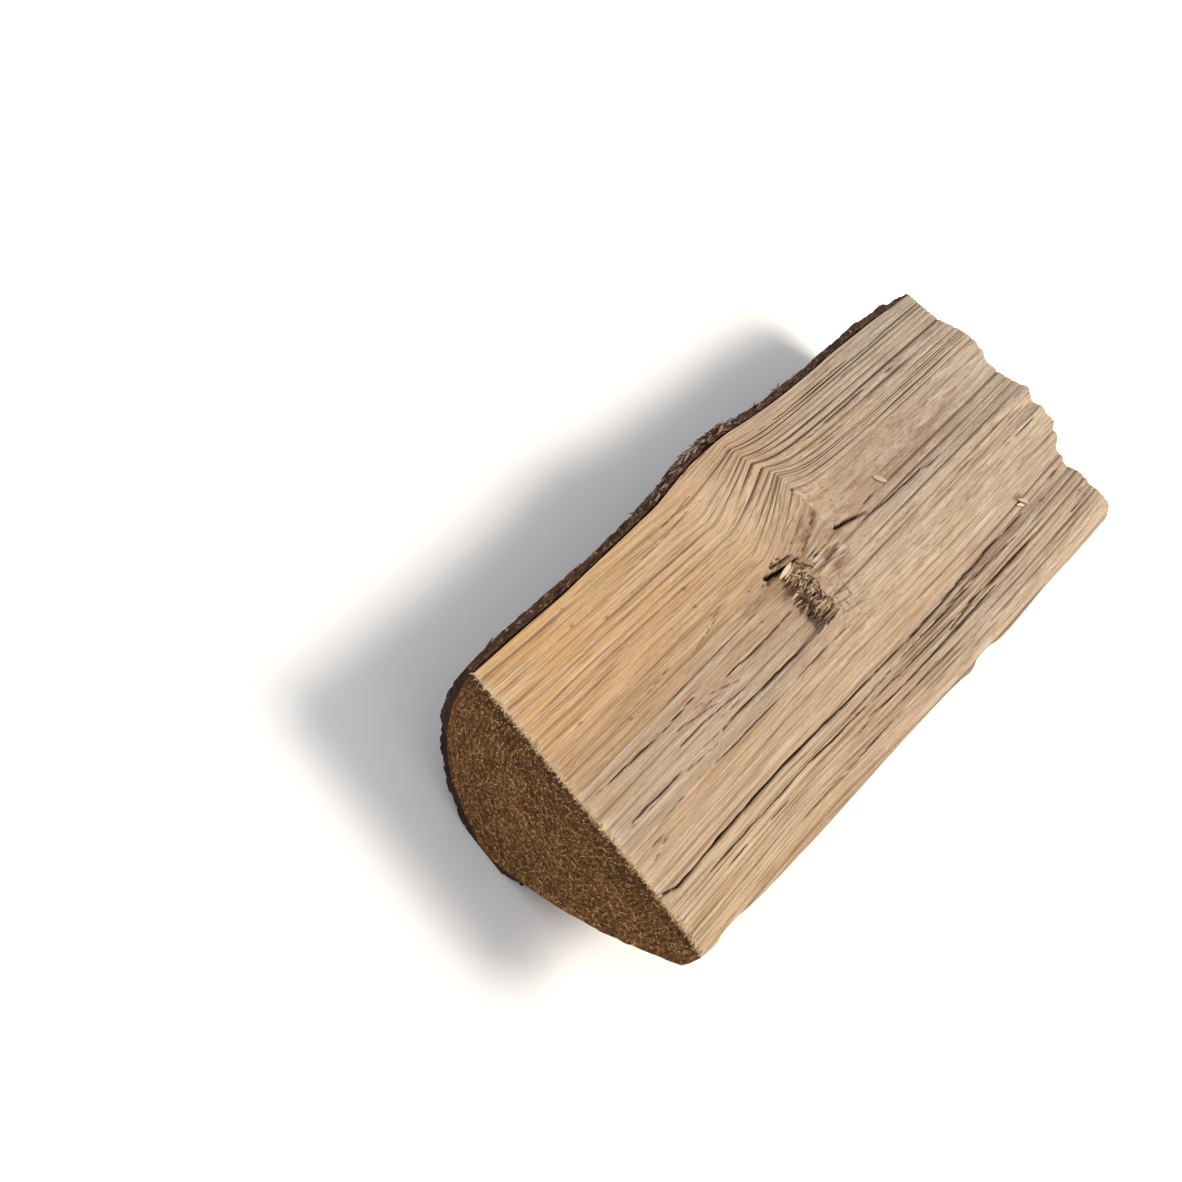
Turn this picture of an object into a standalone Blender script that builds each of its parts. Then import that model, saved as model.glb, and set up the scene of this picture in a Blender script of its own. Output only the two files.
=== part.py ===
"""Split log: half of a small softwood trunk, sawn to stove length and split along the grain.

Wood and bark grew as one piece, so the log is one solid. It lies on its bark with the
split face up. X runs across the log, Y runs along the grain from the near sawn end to
the far one, and Z is up. Lengths are in metres.

The shape functions measure from a datum, the bark-side corner of the split face at the
near end: across (+X), along (+Y) and up (+Z). DATUM puts that corner in the part's frame.
"""
import math

import bmesh
import bpy
import numpy as np
from mathutils import Euler, Vector

# Saw cuts
LENGTH = 0.250              # between the two sawn ends, along the datum edge
NEAR_SKEW = -0.051          # slope of the near cut, metres along per metre across
FAR_SKEW = 0.017            # slope of the far cut

# Width of the split face, bark included
NEAR_LEFT = -0.002
NEAR_RIGHT = 0.084
FAR_LEFT = -0.006
FAR_RIGHT = 0.0975
WHORL_ALONG = 0.115         # the branch whorl, where the trunk swells
WHORL_SWELL = 0.003
WHORL_LENGTH = 0.022

# Round of the trunk under the split face
ROUND_DEPTH = 0.0430        # depth of the full round
REST_DEPTH = 0.0405         # the underside is worn flat here, where the log lies
FLANK_ANGLE = math.radians(55.0)   # direction of the barked-off flank, below +X
FLANK_NEAR = 0.0334         # its distance from the middle of the face, near end
FLANK_FAR = 0.0395
FLANK_POWER = 0.65          # 1 is a flat flank, 0 a round one
BARK_STEP_ANGLE = math.radians(82.0)   # the bark starts here, in a step
ROUND_SPREAD = 0.8          # below 1, the round's points crowd towards the face

# Height of the split face across the log, as (across share 0 to 1, up)
NEAR_CREST = ((0.0, 0.0), (0.25, 0.0007), (0.5, 0.001), (0.78, 0.0016), (0.95, 0.0008), (1.0, 0.0))
FAR_CREST = (
    (0.0, 0.0), (0.05, 0.0003), (0.12, 0.0016), (0.22, 0.0058), (0.265, 0.0066), (0.33, 0.0049),
    (0.43, 0.0068), (0.49, 0.0097), (0.53, 0.0078), (0.62, 0.0087), (0.66, 0.0060),
    (0.70, 0.0034), (0.77, 0.0010), (0.83, 0.0030), (0.93, 0.0036), (0.98, 0.0022), (1.0, 0.0),
)
CREST_START = 0.070         # the far crest rises out of the near one from here
CREST_POWER = 1.25

# Low swells of the face, as (across, along, width across, length along, height)
SWELLS = (
    (0.018, 0.128, 0.020, 0.016, 0.0018),
    (0.046, 0.124, 0.012, 0.014, 0.0026),
    (0.048, 0.070, 0.011, 0.030, -0.0012),
    (0.026, 0.160, 0.012, 0.030, -0.0016),
)

# Pocket where the knot tore out: the floor rises from its lip towards the near end
POCKET_MIDDLE = (0.0450, 0.080)     # across, along
POCKET_SIZE = (0.0180, 0.050, 0.010)
POCKET_LIFT = 0.0042        # its middle above the datum plane
POCKET_PITCH = math.radians(-5.0)
HOLE_MIDDLE = (0.0335, 0.107, 0.001)   # across, along, up
HOLE_HALF = (0.0028, 0.0090, 0.0060)

# Drying checks, as (name, start across, start along, end across, end along, width, depth)
CHECKS = (
    ("long_check", 0.0680, -0.012, 0.0735, 0.216, 0.0022, 0.0070),
    ("ledge_check", 0.0365, 0.136, 0.0428, 0.203, 0.0026, 0.0050),
    ("heart_check", 0.0440, 0.064, 0.0436, 0.103, 0.0014, 0.0045),
    ("near_check", 0.0410, 0.015, 0.0408, 0.056, 0.0012, 0.0035),
    ("side_check", 0.0790, 0.098, 0.0830, 0.192, 0.0016, 0.0050),
)
CHECK_SIDES = 12
CHECK_RINGS = 8

# Mesh detail
FACE_STEPS = 28             # across the split face
ROUND_STEPS = 24            # around the trunk
LENGTH_STEPS = 42

# The part's frame: the middle of the log's box across and along, and its underside
DATUM = Vector((-0.04535, -0.12369, REST_DEPTH))

WOOD_COLOUR = (0.55, 0.40, 0.26, 1.0)
WOOD_ROUGHNESS = 0.85


def smooth_step(low, high, value):
    """0 below low, 1 above high and an even S between them."""
    share = min(max((value - low) / (high - low), 0.0), 1.0)
    return share * share * (3.0 - 2.0 * share)


def mix(first, second, share):
    return first + (second - first) * share


def bump(value, middle, width):
    """A bell of height 1 and the given half-width."""
    return math.exp(-(((value - middle) / width) ** 2))


def left_edge(along):
    """The bark's outer edge on the left of the face, swollen at the whorl."""
    straight = mix(NEAR_LEFT, FAR_LEFT, along / LENGTH)
    return straight - WHORL_SWELL * bump(along, WHORL_ALONG, WHORL_LENGTH)


def right_edge(along):
    return mix(NEAR_RIGHT, FAR_RIGHT, along / LENGTH)


def crest(points, share):
    """Height of a crest line at a share of the width."""
    shares, heights = zip(*points)
    return float(np.interp(share, shares, heights))


def face_height(share, across, along):
    """Height of the split face: two crest lines mixed along the log, and the low swells."""
    rise = max(along - CREST_START, 0.0) / (LENGTH - CREST_START)
    height = mix(crest(NEAR_CREST, share), crest(FAR_CREST, share), rise**CREST_POWER)
    edge_fade = smooth_step(0.0, 0.12, share) * smooth_step(0.0, 0.12, 1.0 - share)
    for middle, place, width, length, swell in SWELLS:
        height += edge_fade * swell * bump(across, middle, width) * bump(along, place, length)
    return height


def round_point(angle, along):
    """A point of the trunk's round, at an angle below +X from the middle of the face."""
    left, right = left_edge(along), right_edge(along)
    middle, half = (left + right) / 2, (right - left) / 2
    cosine, sine = math.cos(angle), math.sin(angle)
    reach = 1.0 / math.hypot(cosine / half, sine / ROUND_DEPTH)
    facing = math.cos(angle - FLANK_ANGLE)
    if angle < BARK_STEP_ANGLE and facing > 0.0:
        flank = mix(FLANK_NEAR, FLANK_FAR, along / LENGTH)
        reach = min(reach, flank / facing**FLANK_POWER)
    return middle + reach * cosine, max(-reach * sine, -REST_DEPTH)


def section_point(index, along):
    """Point number index of the log's outline: first across the face, then round the bark."""
    if index <= FACE_STEPS:
        share = index / FACE_STEPS
        across = mix(left_edge(along), right_edge(along), share)
        return across, face_height(share, across, along)
    turn = (index - FACE_STEPS) / ROUND_STEPS
    # Points crowd towards both corners of the face, where the outline bends most.
    eased = turn - math.sin(2.0 * math.pi * turn) * (1.0 - ROUND_SPREAD) / (2.0 * math.pi)
    return round_point(math.pi * eased, along)


def placed(across, along_share, up):
    """A point in the part's frame, with the skew of the two saw cuts."""
    near, far = NEAR_SKEW * across, LENGTH + FAR_SKEW * across
    return DATUM + Vector((across, mix(near, far, along_share), up))


def new_material(name, colour, roughness):
    material = bpy.data.materials.new(name)
    material.use_nodes = True
    shader = material.node_tree.nodes["Principled BSDF"]
    shader.inputs["Base Color"].default_value = colour
    shader.inputs["Roughness"].default_value = roughness
    shader.inputs["Metallic"].default_value = 0.0
    return material


def new_object(name, mesh, collection):
    made = bpy.data.objects.new(name, mesh)
    collection.objects.link(made)
    return made


def ringed_cylinder(sides, rings):
    """A cylinder of unit radius from z = 0 to z = 1, capped and cut into rings."""
    made = bmesh.new()
    bmesh.ops.create_cone(made, cap_ends=True, segments=sides, radius1=1.0, radius2=1.0, depth=1.0)
    bmesh.ops.translate(made, vec=(0.0, 0.0, 0.5), verts=made.verts)
    upright = [edge for edge in made.edges if abs(edge.verts[0].co.z - edge.verts[1].co.z) > 0.5]
    bmesh.ops.subdivide_edges(made, edges=upright, cuts=rings - 1, use_grid_fill=True)
    return made


def make_log(collection):
    """The log: a ringed cylinder whose rings are pushed out to the log's own outline."""
    sides = FACE_STEPS + ROUND_STEPS
    shape = ringed_cylinder(sides, LENGTH_STEPS)
    for corner in shape.verts:
        turn = math.atan2(corner.co.y, corner.co.x) / (2.0 * math.pi)
        index = round(turn * sides) % sides
        share = corner.co.z
        across, up = section_point(index, share * LENGTH)
        corner.co = placed(across, share, up)
    bmesh.ops.recalc_face_normals(shape, faces=shape.faces)
    mesh = bpy.data.meshes.new("split_log")
    shape.to_mesh(mesh)
    shape.free()
    mesh.shade_smooth()
    mesh.set_sharp_from_angle(angle=math.radians(40.0))
    mesh.materials.append(new_material("weathered_softwood", WOOD_COLOUR, WOOD_ROUGHNESS))
    return new_object("split_log", mesh, collection)


def make_pocket_cutter(collection):
    """A tilted block that takes out the pocket below the torn knot."""
    made = bmesh.new()
    bmesh.ops.create_cube(made, size=1.0)
    bmesh.ops.scale(made, vec=POCKET_SIZE, verts=made.verts)
    turn = Euler((POCKET_PITCH, 0.0, 0.0)).to_matrix()
    bmesh.ops.rotate(made, cent=(0.0, 0.0, 0.0), matrix=turn, verts=made.verts)
    across, along = POCKET_MIDDLE
    bmesh.ops.translate(made, vec=DATUM + Vector((across, along, POCKET_LIFT)), verts=made.verts)
    mesh = bpy.data.meshes.new("pocket_cutter")
    made.to_mesh(mesh)
    made.free()
    return new_object("pocket_cutter", mesh, collection)


def make_blade_cutter(name, middle, half, yaw, collection):
    """A long ellipsoid: it cuts a boat-shaped opening that runs out to nothing at its ends."""
    made = bmesh.new()
    bmesh.ops.create_uvsphere(made, u_segments=CHECK_SIDES, v_segments=CHECK_RINGS, radius=1.0)
    tip = Euler((math.pi / 2, 0.0, 0.0)).to_matrix()
    bmesh.ops.rotate(made, cent=(0.0, 0.0, 0.0), matrix=tip, verts=made.verts)
    bmesh.ops.scale(made, vec=half, verts=made.verts)
    turn = Euler((0.0, 0.0, yaw)).to_matrix()
    bmesh.ops.rotate(made, cent=(0.0, 0.0, 0.0), matrix=turn, verts=made.verts)
    bmesh.ops.translate(made, vec=DATUM + Vector(middle), verts=made.verts)
    mesh = bpy.data.meshes.new(name)
    made.to_mesh(mesh)
    made.free()
    return new_object(name, mesh, collection)


def height_at(across, along):
    left, right = left_edge(along), right_edge(along)
    return face_height((across - left) / (right - left), across, along)


def make_check_cutter(check, collection):
    """The blade of one drying check, with its middle on the split face."""
    name, start_across, start_along, end_across, end_along, width, depth = check
    across, along = (start_across + end_across) / 2, (start_along + end_along) / 2
    reach = math.hypot(end_across - start_across, end_along - start_along)
    yaw = math.atan2(start_across - end_across, end_along - start_along)
    middle = (across, along, height_at(across, along))
    return make_blade_cutter(name, middle, (width / 2, reach / 2, depth), yaw, collection)


def cut(body, cutter):
    """Takes the cutter out of the body, and keeps it as a wire guide that isn't rendered."""
    cutter.hide_render = True
    cutter.display_type = "WIRE"
    boolean = body.modifiers.new(cutter.name, "BOOLEAN")
    boolean.operation = "DIFFERENCE"
    boolean.solver = "EXACT"
    boolean.object = cutter


def clear_scene():
    for old in list(bpy.data.objects):
        bpy.data.objects.remove(old)


def main():
    clear_scene()
    part = bpy.data.collections.new("split_log")
    cutters = bpy.data.collections.new("cutters")
    for collection in (part, cutters):
        bpy.context.scene.collection.children.link(collection)
    log = make_log(part)
    cut(log, make_pocket_cutter(cutters))
    cut(log, make_blade_cutter("knot_hole", HOLE_MIDDLE, HOLE_HALF, 0.0, cutters))
    for check in CHECKS:
        cut(log, make_check_cutter(check, cutters))


main()
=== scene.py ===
# %% [markdown]
# # A split log
# This is half of a small softwood trunk. It was sawn to stove length and split along the
# grain with an axe, then left outside until the split face weathered.
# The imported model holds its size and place. Everything here is measured from it, so we load
# it first and keep its box.

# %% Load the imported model
import math

import bpy
import numpy as np
from mathutils import Matrix, Vector


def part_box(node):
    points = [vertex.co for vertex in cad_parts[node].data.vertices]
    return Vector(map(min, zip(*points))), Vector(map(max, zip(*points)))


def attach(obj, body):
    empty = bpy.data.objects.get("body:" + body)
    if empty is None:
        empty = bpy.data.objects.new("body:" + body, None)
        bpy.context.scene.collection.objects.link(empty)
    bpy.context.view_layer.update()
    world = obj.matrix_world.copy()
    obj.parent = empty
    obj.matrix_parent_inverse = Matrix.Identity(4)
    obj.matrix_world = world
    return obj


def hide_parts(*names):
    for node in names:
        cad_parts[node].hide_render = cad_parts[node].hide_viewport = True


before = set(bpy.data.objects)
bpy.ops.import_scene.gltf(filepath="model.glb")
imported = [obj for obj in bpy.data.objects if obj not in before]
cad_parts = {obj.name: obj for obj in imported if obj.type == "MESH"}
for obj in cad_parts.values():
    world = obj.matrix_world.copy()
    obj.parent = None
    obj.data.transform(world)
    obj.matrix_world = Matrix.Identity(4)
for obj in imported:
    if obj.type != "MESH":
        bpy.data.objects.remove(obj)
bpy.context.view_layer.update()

log_low, log_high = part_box("split_log")
print("log box in mm:", [round(1000 * side) for side in log_high - log_low])

# %% [markdown]
# ## Measures
# A wood shop measures from an edge, not from the middle of the bench. Our edge is the
# bark-side corner of the split face at the near end. `across` runs over the split face,
# `along` runs with the grain, and `up` leaves the face. All three are in millimetres, and one
# function turns them into the model's metres.

# %% Measures of the log
MM = 0.001
LENGTH = 250.0             # between the saw cuts, on the bark-side edge
NEAR_SKEW = -0.051         # the saw cuts are a little out of square
FAR_SKEW = 0.017
REST_DEPTH = 40.5          # from the datum corner down to the floor
BARK_BULGE = 6.805         # how far the solid's bark reaches past the datum corner
NEAR_WIDTH = 84.0

DATUM = Vector((
    log_low.x / MM + BARK_BULGE,
    log_low.y / MM - NEAR_SKEW * NEAR_WIDTH,
    log_low.z / MM + REST_DEPTH,
))


def to_model(across, along, up):
    """Stacks log measures in millimetres into points in metres."""
    points = np.stack(np.broadcast_arrays(across, along, up), axis=-1)
    return (points + np.array(DATUM)) * MM


print("datum corner in mm:", [round(value, 1) for value in DATUM])

# %% [markdown]
# ## The viewpoint
# The camera comes before the modelling, because it tells us which detail will show. It looks
# down on the split face from just behind the near end. It is turned about its own axis, so
# the log runs from lower left to upper right. The lens is a normal one, about 50 mm.

# %% Camera
CAMERA_PLACE = (8.5, -241.5, 294.6)     # across, along, up
CAMERA_ELEVATION = math.radians(45.7)
CAMERA_AZIMUTH = math.radians(-0.9)
CAMERA_ROLL = math.radians(48.2)
CAMERA_LENS = 50.25


def place_camera():
    """A camera that looks down at the split face along the grain, rolled to one side."""
    data = bpy.data.cameras.new("camera")
    data.lens = CAMERA_LENS
    data.clip_start = 0.01
    camera = bpy.data.objects.new("camera", data)
    bpy.context.scene.collection.objects.link(camera)
    tilt = Matrix.Rotation(math.pi / 2 - CAMERA_ELEVATION, 4, "X")
    turn = Matrix.Rotation(-CAMERA_AZIMUTH, 4, "Z")
    roll = Matrix.Rotation(CAMERA_ROLL, 4, "Z")
    place = Matrix.Translation((Vector(CAMERA_PLACE) + DATUM) * MM)
    camera.matrix_world = place @ turn @ tilt @ roll
    bpy.context.scene.camera = camera
    return camera


camera = place_camera()
print("camera stands at", [round(value, 3) for value in camera.location])

# %% [markdown]
# ## Small tools
# Wood is a smooth shape with rules on top: rings at a regular spacing, splits that follow
# the grain, and a little chance everywhere. Four tools cover all of it: an S-shaped step, a
# curve through a few chosen points, smooth noise, and cells like those of dried mud. Noise
# and cells look random, but give the same result each run.

# %% Steps, curves, noise and cells
def smooth_step(low, high, value):
    """0 below low, 1 above high, and an even S between them."""
    share = np.clip((value - low) / (high - low), 0.0, 1.0)
    return share * share * (3.0 - 2.0 * share)


def mix(first, second, share):
    """A value between two values: the first at share 0, the second at share 1."""
    return first + (second - first) * share


def bell(value, middle, width):
    """A bump of height 1."""
    return np.exp(-(((value - middle) / width) ** 2))


def curve(points, value):
    """A smooth line through (place, height) points, that never swings past them."""
    places, heights = np.array(points, float).T
    climbs = np.diff(heights) / np.diff(places)
    before, after = np.append(climbs[:1], climbs), np.append(climbs, climbs[-1:])
    steepest = 2.5 * np.minimum(np.abs(before), np.abs(after)) * (before * after > 0.0)
    slopes = np.clip(np.gradient(heights, places), -steepest, steepest)
    value = np.clip(np.asarray(value, float), places[0], places[-1])
    index = np.clip(np.searchsorted(places, value) - 1, 0, len(places) - 2)
    gap = places[index + 1] - places[index]
    share = (value - places[index]) / gap
    straight = mix(heights[index], heights[index + 1], smooth_step(0.0, 1.0, share))
    bend = (1.0 - share) * slopes[index] - share * slopes[index + 1]
    return straight + share * (1.0 - share) * bend * gap


def chance(column, row, seed):
    """An even random number from 0 to 1 for each whole-numbered place."""
    mask = 0xFFFFFFFF
    number = (column * 374761393 + row * 668265263 + seed * 974711) & mask
    number = ((number ^ (number >> 13)) * 1274126177) & mask
    return ((number ^ (number >> 16)) & 0xFFFF) / 65535.0


def noise(x, y, seed=0):
    """Smooth noise from -1 to 1, with features about one unit wide."""
    x, y = np.broadcast_arrays(np.asarray(x, float), np.asarray(y, float))
    column, row = np.floor(x).astype(np.int64), np.floor(y).astype(np.int64)
    right, top = smooth_step(0.0, 1.0, x - column), smooth_step(0.0, 1.0, y - row)
    low = mix(chance(column, row, seed), chance(column + 1, row, seed), right)
    high = mix(chance(column, row + 1, seed), chance(column + 1, row + 1, seed), right)
    return 2.0 * mix(low, high, top) - 1.0


def rough_noise(x, y, seed=0, layers=3):
    """Noise with finer and fainter layers on top."""
    total = 0.0
    for layer in range(layers):
        total = total + noise(x * 2.0**layer, y * 2.0**layer, seed + layer) / 2.0**layer
    return total / 1.5


def cells(x, y, seed):
    """For each point: its cell's random number, and how far the nearest border is."""
    column, row = np.floor(x).astype(np.int64), np.floor(y).astype(np.int64)
    best, second = np.full(x.shape, 9.0), np.full(x.shape, 9.0)
    number = np.zeros(x.shape)
    for right in (-1, 0, 1):
        for top in (-1, 0, 1):
            place_x = column + right + 0.15 + 0.7 * chance(column + right, row + top, seed)
            place_y = row + top + 0.15 + 0.7 * chance(column + right, row + top, seed + 1)
            reach = np.hypot(x - place_x, y - place_y)
            closer = reach < best
            second = np.where(closer, best, np.minimum(second, reach))
            number = np.where(closer, chance(column + right, row + top, seed + 2), number)
            best = np.minimum(best, reach)
    return number, second - best


print("noise spans", round(float(noise(np.arange(99) / 3.0, 0.5).min()), 2), "to about 1")

# %% [markdown]
# ## The outline of the log
# Seen from above, the split face is a long strip. Its left edge is the bark, which swells
# round the whorl where the branch grew. Its right edge is where the outer bark has come
# away. Seen from the end, the log is half a circle, with one flat flank.

# %% Edges of the split face and the round of the trunk
WOOD_EDGE = (       # each edge as points (along, across)
    (0, 0.8), (21, 0.4), (36, 0.3), (50, -0.3), (64, -0.9), (75, -1.4), (86, -2.0), (94, -3.1),
    (110, -4.8), (124, -5.0), (140, -4.0), (162, -3.2), (177, -3.2), (193, -3.5), (208, -3.4),
    (231, -3.0), (250, -2.5),
)
BARK_EDGE = (
    (0, -1.3), (4, -1.7), (14, -2.4), (29, -2.8), (43, -2.8), (57, -3.1), (68, -3.9), (79, -4.6),
    (89, -5.3), (96, -6.0), (105, -7.6), (113, -8.0), (120, -8.2), (126, -8.0), (133, -7.2),
    (140, -6.6), (162, -5.7), (185, -5.7), (194, -6.1), (208, -6.1), (214, -6.4), (219, -5.7),
    (233, -5.6), (236, -4.4), (242, -4.1), (245, -3.2), (250, -2.7),
)
RIGHT_EDGE = (
    (0, 83.8), (6, 84.5), (10, 84.1), (25, 85.6), (50, 87.3), (80, 88.8), (100, 89.8), (120, 91.0),
    (138, 92.6), (142, 93.2), (148, 92.4), (156, 92.7), (162, 94.0), (200, 95.5), (225, 97.0), (250, 98.0),
)
WOOD_DEPTH = 40.4
BARK_THICKNESS = 2.5
GIRTH_RADIUS = 42.0         # turns an angle round the trunk into millimetres
FLANK_ANGLE = math.radians(55.0)
FLANK_NEAR, FLANK_FAR = 33.4, 39.5      # from the middle out to the flank, at each end
FLANK_POWER = 0.65          # below 1, the flank is slightly round instead of flat


def wood_round(angle, along):
    """A point on the wood's round side, at an angle below the face, and the way out there."""
    left, right = curve(WOOD_EDGE, along), curve(RIGHT_EDGE, along)
    middle, half = (left + right) / 2, (right - left) / 2
    cosine, sine = np.cos(angle), np.sin(angle)
    reach = 1.0 / np.hypot(cosine / half, sine / WOOD_DEPTH)
    flank = mix(FLANK_NEAR, FLANK_FAR, along / LENGTH)
    facing = np.maximum(np.cos(angle - FLANK_ANGLE), 0.2)
    reach = np.minimum(reach, flank / facing**FLANK_POWER)
    return middle + reach * cosine, -reach * sine, cosine, -sine


widths = [round(float(curve(RIGHT_EDGE, y) - curve(BARK_EDGE, y))) for y in (0, 125, 250)]
print("face width in mm:", widths)

# %% [markdown]
# ## The broad shape of the split face
# An axe doesn't cut wood, it opens it, so the face follows the grain. Here it is almost flat
# at the near end and climbs into two humps at the far end. A few low swells sit round the
# knot. We mix two crest lines along the log, and add the swells.
# The marks on the face come later, at places on a level face, as they look from the camera.
# Raised wood hides a point of the level face further along, so one function finds that point.

# %% Broad shape
# Each crest line is points (share of the width, height)
NEAR_CREST = ((0.0, 0.0), (0.25, 0.7), (0.5, 1.0), (0.78, 1.6), (0.95, 0.8), (1.0, -0.3))
FAR_CREST = (
    (0.0, -0.4), (0.05, 0.3), (0.12, 1.6), (0.22, 5.8), (0.265, 6.6), (0.285, 6.2), (0.30, 6.5),
    (0.33, 4.9), (0.38, 5.3), (0.43, 6.8), (0.47, 8.6), (0.495, 9.9), (0.52, 8.4), (0.54, 7.6),
    (0.57, 9.0), (0.60, 8.4), (0.63, 8.7), (0.65, 6.6), (0.68, 5.9), (0.70, 3.6), (0.72, 2.1),
    (0.74, 2.5), (0.76, 1.5), (0.775, 1.0), (0.81, 2.7), (0.85, 3.3), (0.875, 3.0), (0.91, 3.7),
    (0.955, 3.5), (0.98, 1.8), (1.0, -1.2),
)
CREST_START = 70.0          # up to here the face keeps the near crest line
CREST_POWER = 1.25
EDGE_SHARE = 0.12           # the swells fade out over this share of the width at each edge
SWELLS = (      # middle across, middle along, width across, length along, height
    (18, 128, 20, 16, 1.8),
    (46, 126, 10, 12, 1.8),
    (48, 70, 11, 30, -0.6),
    (26, 160, 12, 30, -1.6),
    (60, 165, 9, 60, 0.8),
    (73, 175, 3, 60, -0.9),
)


def broad_shape(share, across, along):
    """Height of the face before any grain is on it."""
    rise = (np.maximum(along - CREST_START, 0.0) / (LENGTH - CREST_START)) ** CREST_POWER
    height = mix(curve(NEAR_CREST, share), curve(FAR_CREST, share), rise)
    inside = smooth_step(0.0, EDGE_SHARE, share) * smooth_step(0.0, EDGE_SHARE, 1.0 - share)
    for middle, place, width, length, swell in SWELLS:
        height = height + inside * swell * bell(across, middle, width) * bell(along, place, length)
    return height


def as_seen(across, along, rise):
    """The point of a level face that raised wood at this place hides from the camera."""
    lean = rise / (CAMERA_PLACE[2] - rise)
    return across + (across - CAMERA_PLACE[0]) * lean, along + (along - CAMERA_PLACE[1]) * lean


print("far crest reaches", float(curve(FAR_CREST, 0.495)), "mm")

# %% [markdown]
# ## The run of the grain
# Wood fibres flow round a branch like water round a stone. Left of this knot they are pushed
# out and turn back in one sharp crease. If we know where each fibre line started, ridges and
# colours can follow it. So one function gives, for any point, the place across the near end
# where its fibre line begins.

# %% Grain lines
CREASE_LINE = (     # fibre line, and how far along the log its crease lies
    (-8, 122.5), (2, 124), (9, 125.5), (15.5, 128), (19.5, 131.5), (26.5, 133), (34.5, 134.5),
    (38, 136), (120, 136),
)
CREASE_PULL = (     # fibre line, and how far to the left its crease is pushed
    (-8, 2.0), (-4, 2.2), (2, 3.5), (9, 6.7), (15.5, 8.2), (19.5, 8.0), (23, 9.8), (26.5, 11.3),
    (30.5, 11.2), (32, 10.5), (34.5, 5.8), (37, 1.5), (40, 0), (120, 0),
)
LASTING_PULL = (    # the same, well past the crease
    (-8, 1.5), (-4, 1.5), (2, 1.25), (9, 3.8), (15.5, 4.2), (19.2, 3.0), (26.5, 7), (30.5, 8),
    (32, 7), (34.5, 5), (37, 1), (40, 0), (120, 0),
)
BELOW_CREASE, ABOVE_CREASE = 30.0, 10.0  # how far the bend reaches either side of the crease
SPREAD = (      # fibre line, and how far it moves to the right by the far end
    (40, 0), (46, 0.1), (52, 0.5), (58, 1.4), (64, 3.4), (70, 6.0), (77, 9.0), (84, 12), (92, 15),
)
SPREAD_ALONG = ((0, 0), (50, 0.10), (100, 0.38), (150, 0.68), (200, 0.88), (250, 1))


def fibre_across(line, along):
    """Where the fibre that starts at `line` on the near end has got to, further along."""
    crease = curve(CREASE_LINE, line)
    below = np.clip((crease - along) / BELOW_CREASE, 0.0, 1.0)
    above = np.maximum(along - crease, 0.0) / ABOVE_CREASE
    most, lasting = curve(CREASE_PULL, line), curve(LASTING_PULL, line)
    pulled = np.where(along < crease, most * (1.0 - below) ** 1.25, mix(lasting, most, np.exp(-above)))
    spread = curve(SPREAD, line) * curve(SPREAD_ALONG, along)
    wander = 0.35 * noise(line / 14.0, along / 60.0, 5) + 0.14 * noise(line / 3.5, along / 24.0, 6)
    return line - pulled + spread + wander


bent_fibre = round(float(fibre_across(19.0, 131.5)), 1)
print("the fibre that starts at 19 mm is at", bent_fibre, "mm by the crease")

# %% [markdown]
# ## Growth rings
# Each year a tree adds a band of soft spring wood and a thin band of hard summer wood. Rain
# wears the soft bands down, and dirt stays in them, so the rings stand out as ridges with
# narrow grooves between, darkened by that dirt and by painted shade. The rings are about 2 mm wide on the
# left, up to 3 mm just past the middle, and narrow on the right, about 1.3 mm. A finer groove inside each
# ring marks where its summer wood starts.

# %% Ring ridges
FIRST_BORDER, LAST_BORDER = -16.0, 112.0
RING_WIDTHS = (     # place across the near end, and the width of a ring there
    (-16, 1.9), (0, 2.1), (30, 2.0), (38, 2.4), (54, 3.2), (58, 1.7), (70, 1.7), (72, 1.25),
    (112, 1.25),
)
RING_SEED = 4


def ring_borders():
    """Places of the grooves between the rings, at the near end."""
    draw = np.random.default_rng(RING_SEED)
    place, borders = FIRST_BORDER, []
    while place < LAST_BORDER:
        borders.append(place)
        place += np.interp(place, *np.array(RING_WIDTHS).T) * draw.uniform(0.65, 1.35)
    return np.array(borders)


BORDERS = ring_borders()
GROOVE_DEPTHS = np.random.default_rng(RING_SEED + 1).uniform(0.25, 1.0, len(BORDERS))


def ridge_strength(across, along):
    """How deep the weather has cut the rings, in millimetres."""
    far = smooth_step(105.0, 150.0, along)
    left, right = smooth_step(44.0, 32.0, across), smooth_step(60.0, 72.0, across)
    middle = 1.0 - left - right
    kink = bell(along, 126.0, 16.0) * left
    depth = left * mix(0.14, 0.56, far) + middle * mix(0.12, 0.32, far)
    return depth + right * mix(0.26, 0.40, far) + 0.42 * kink


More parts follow.
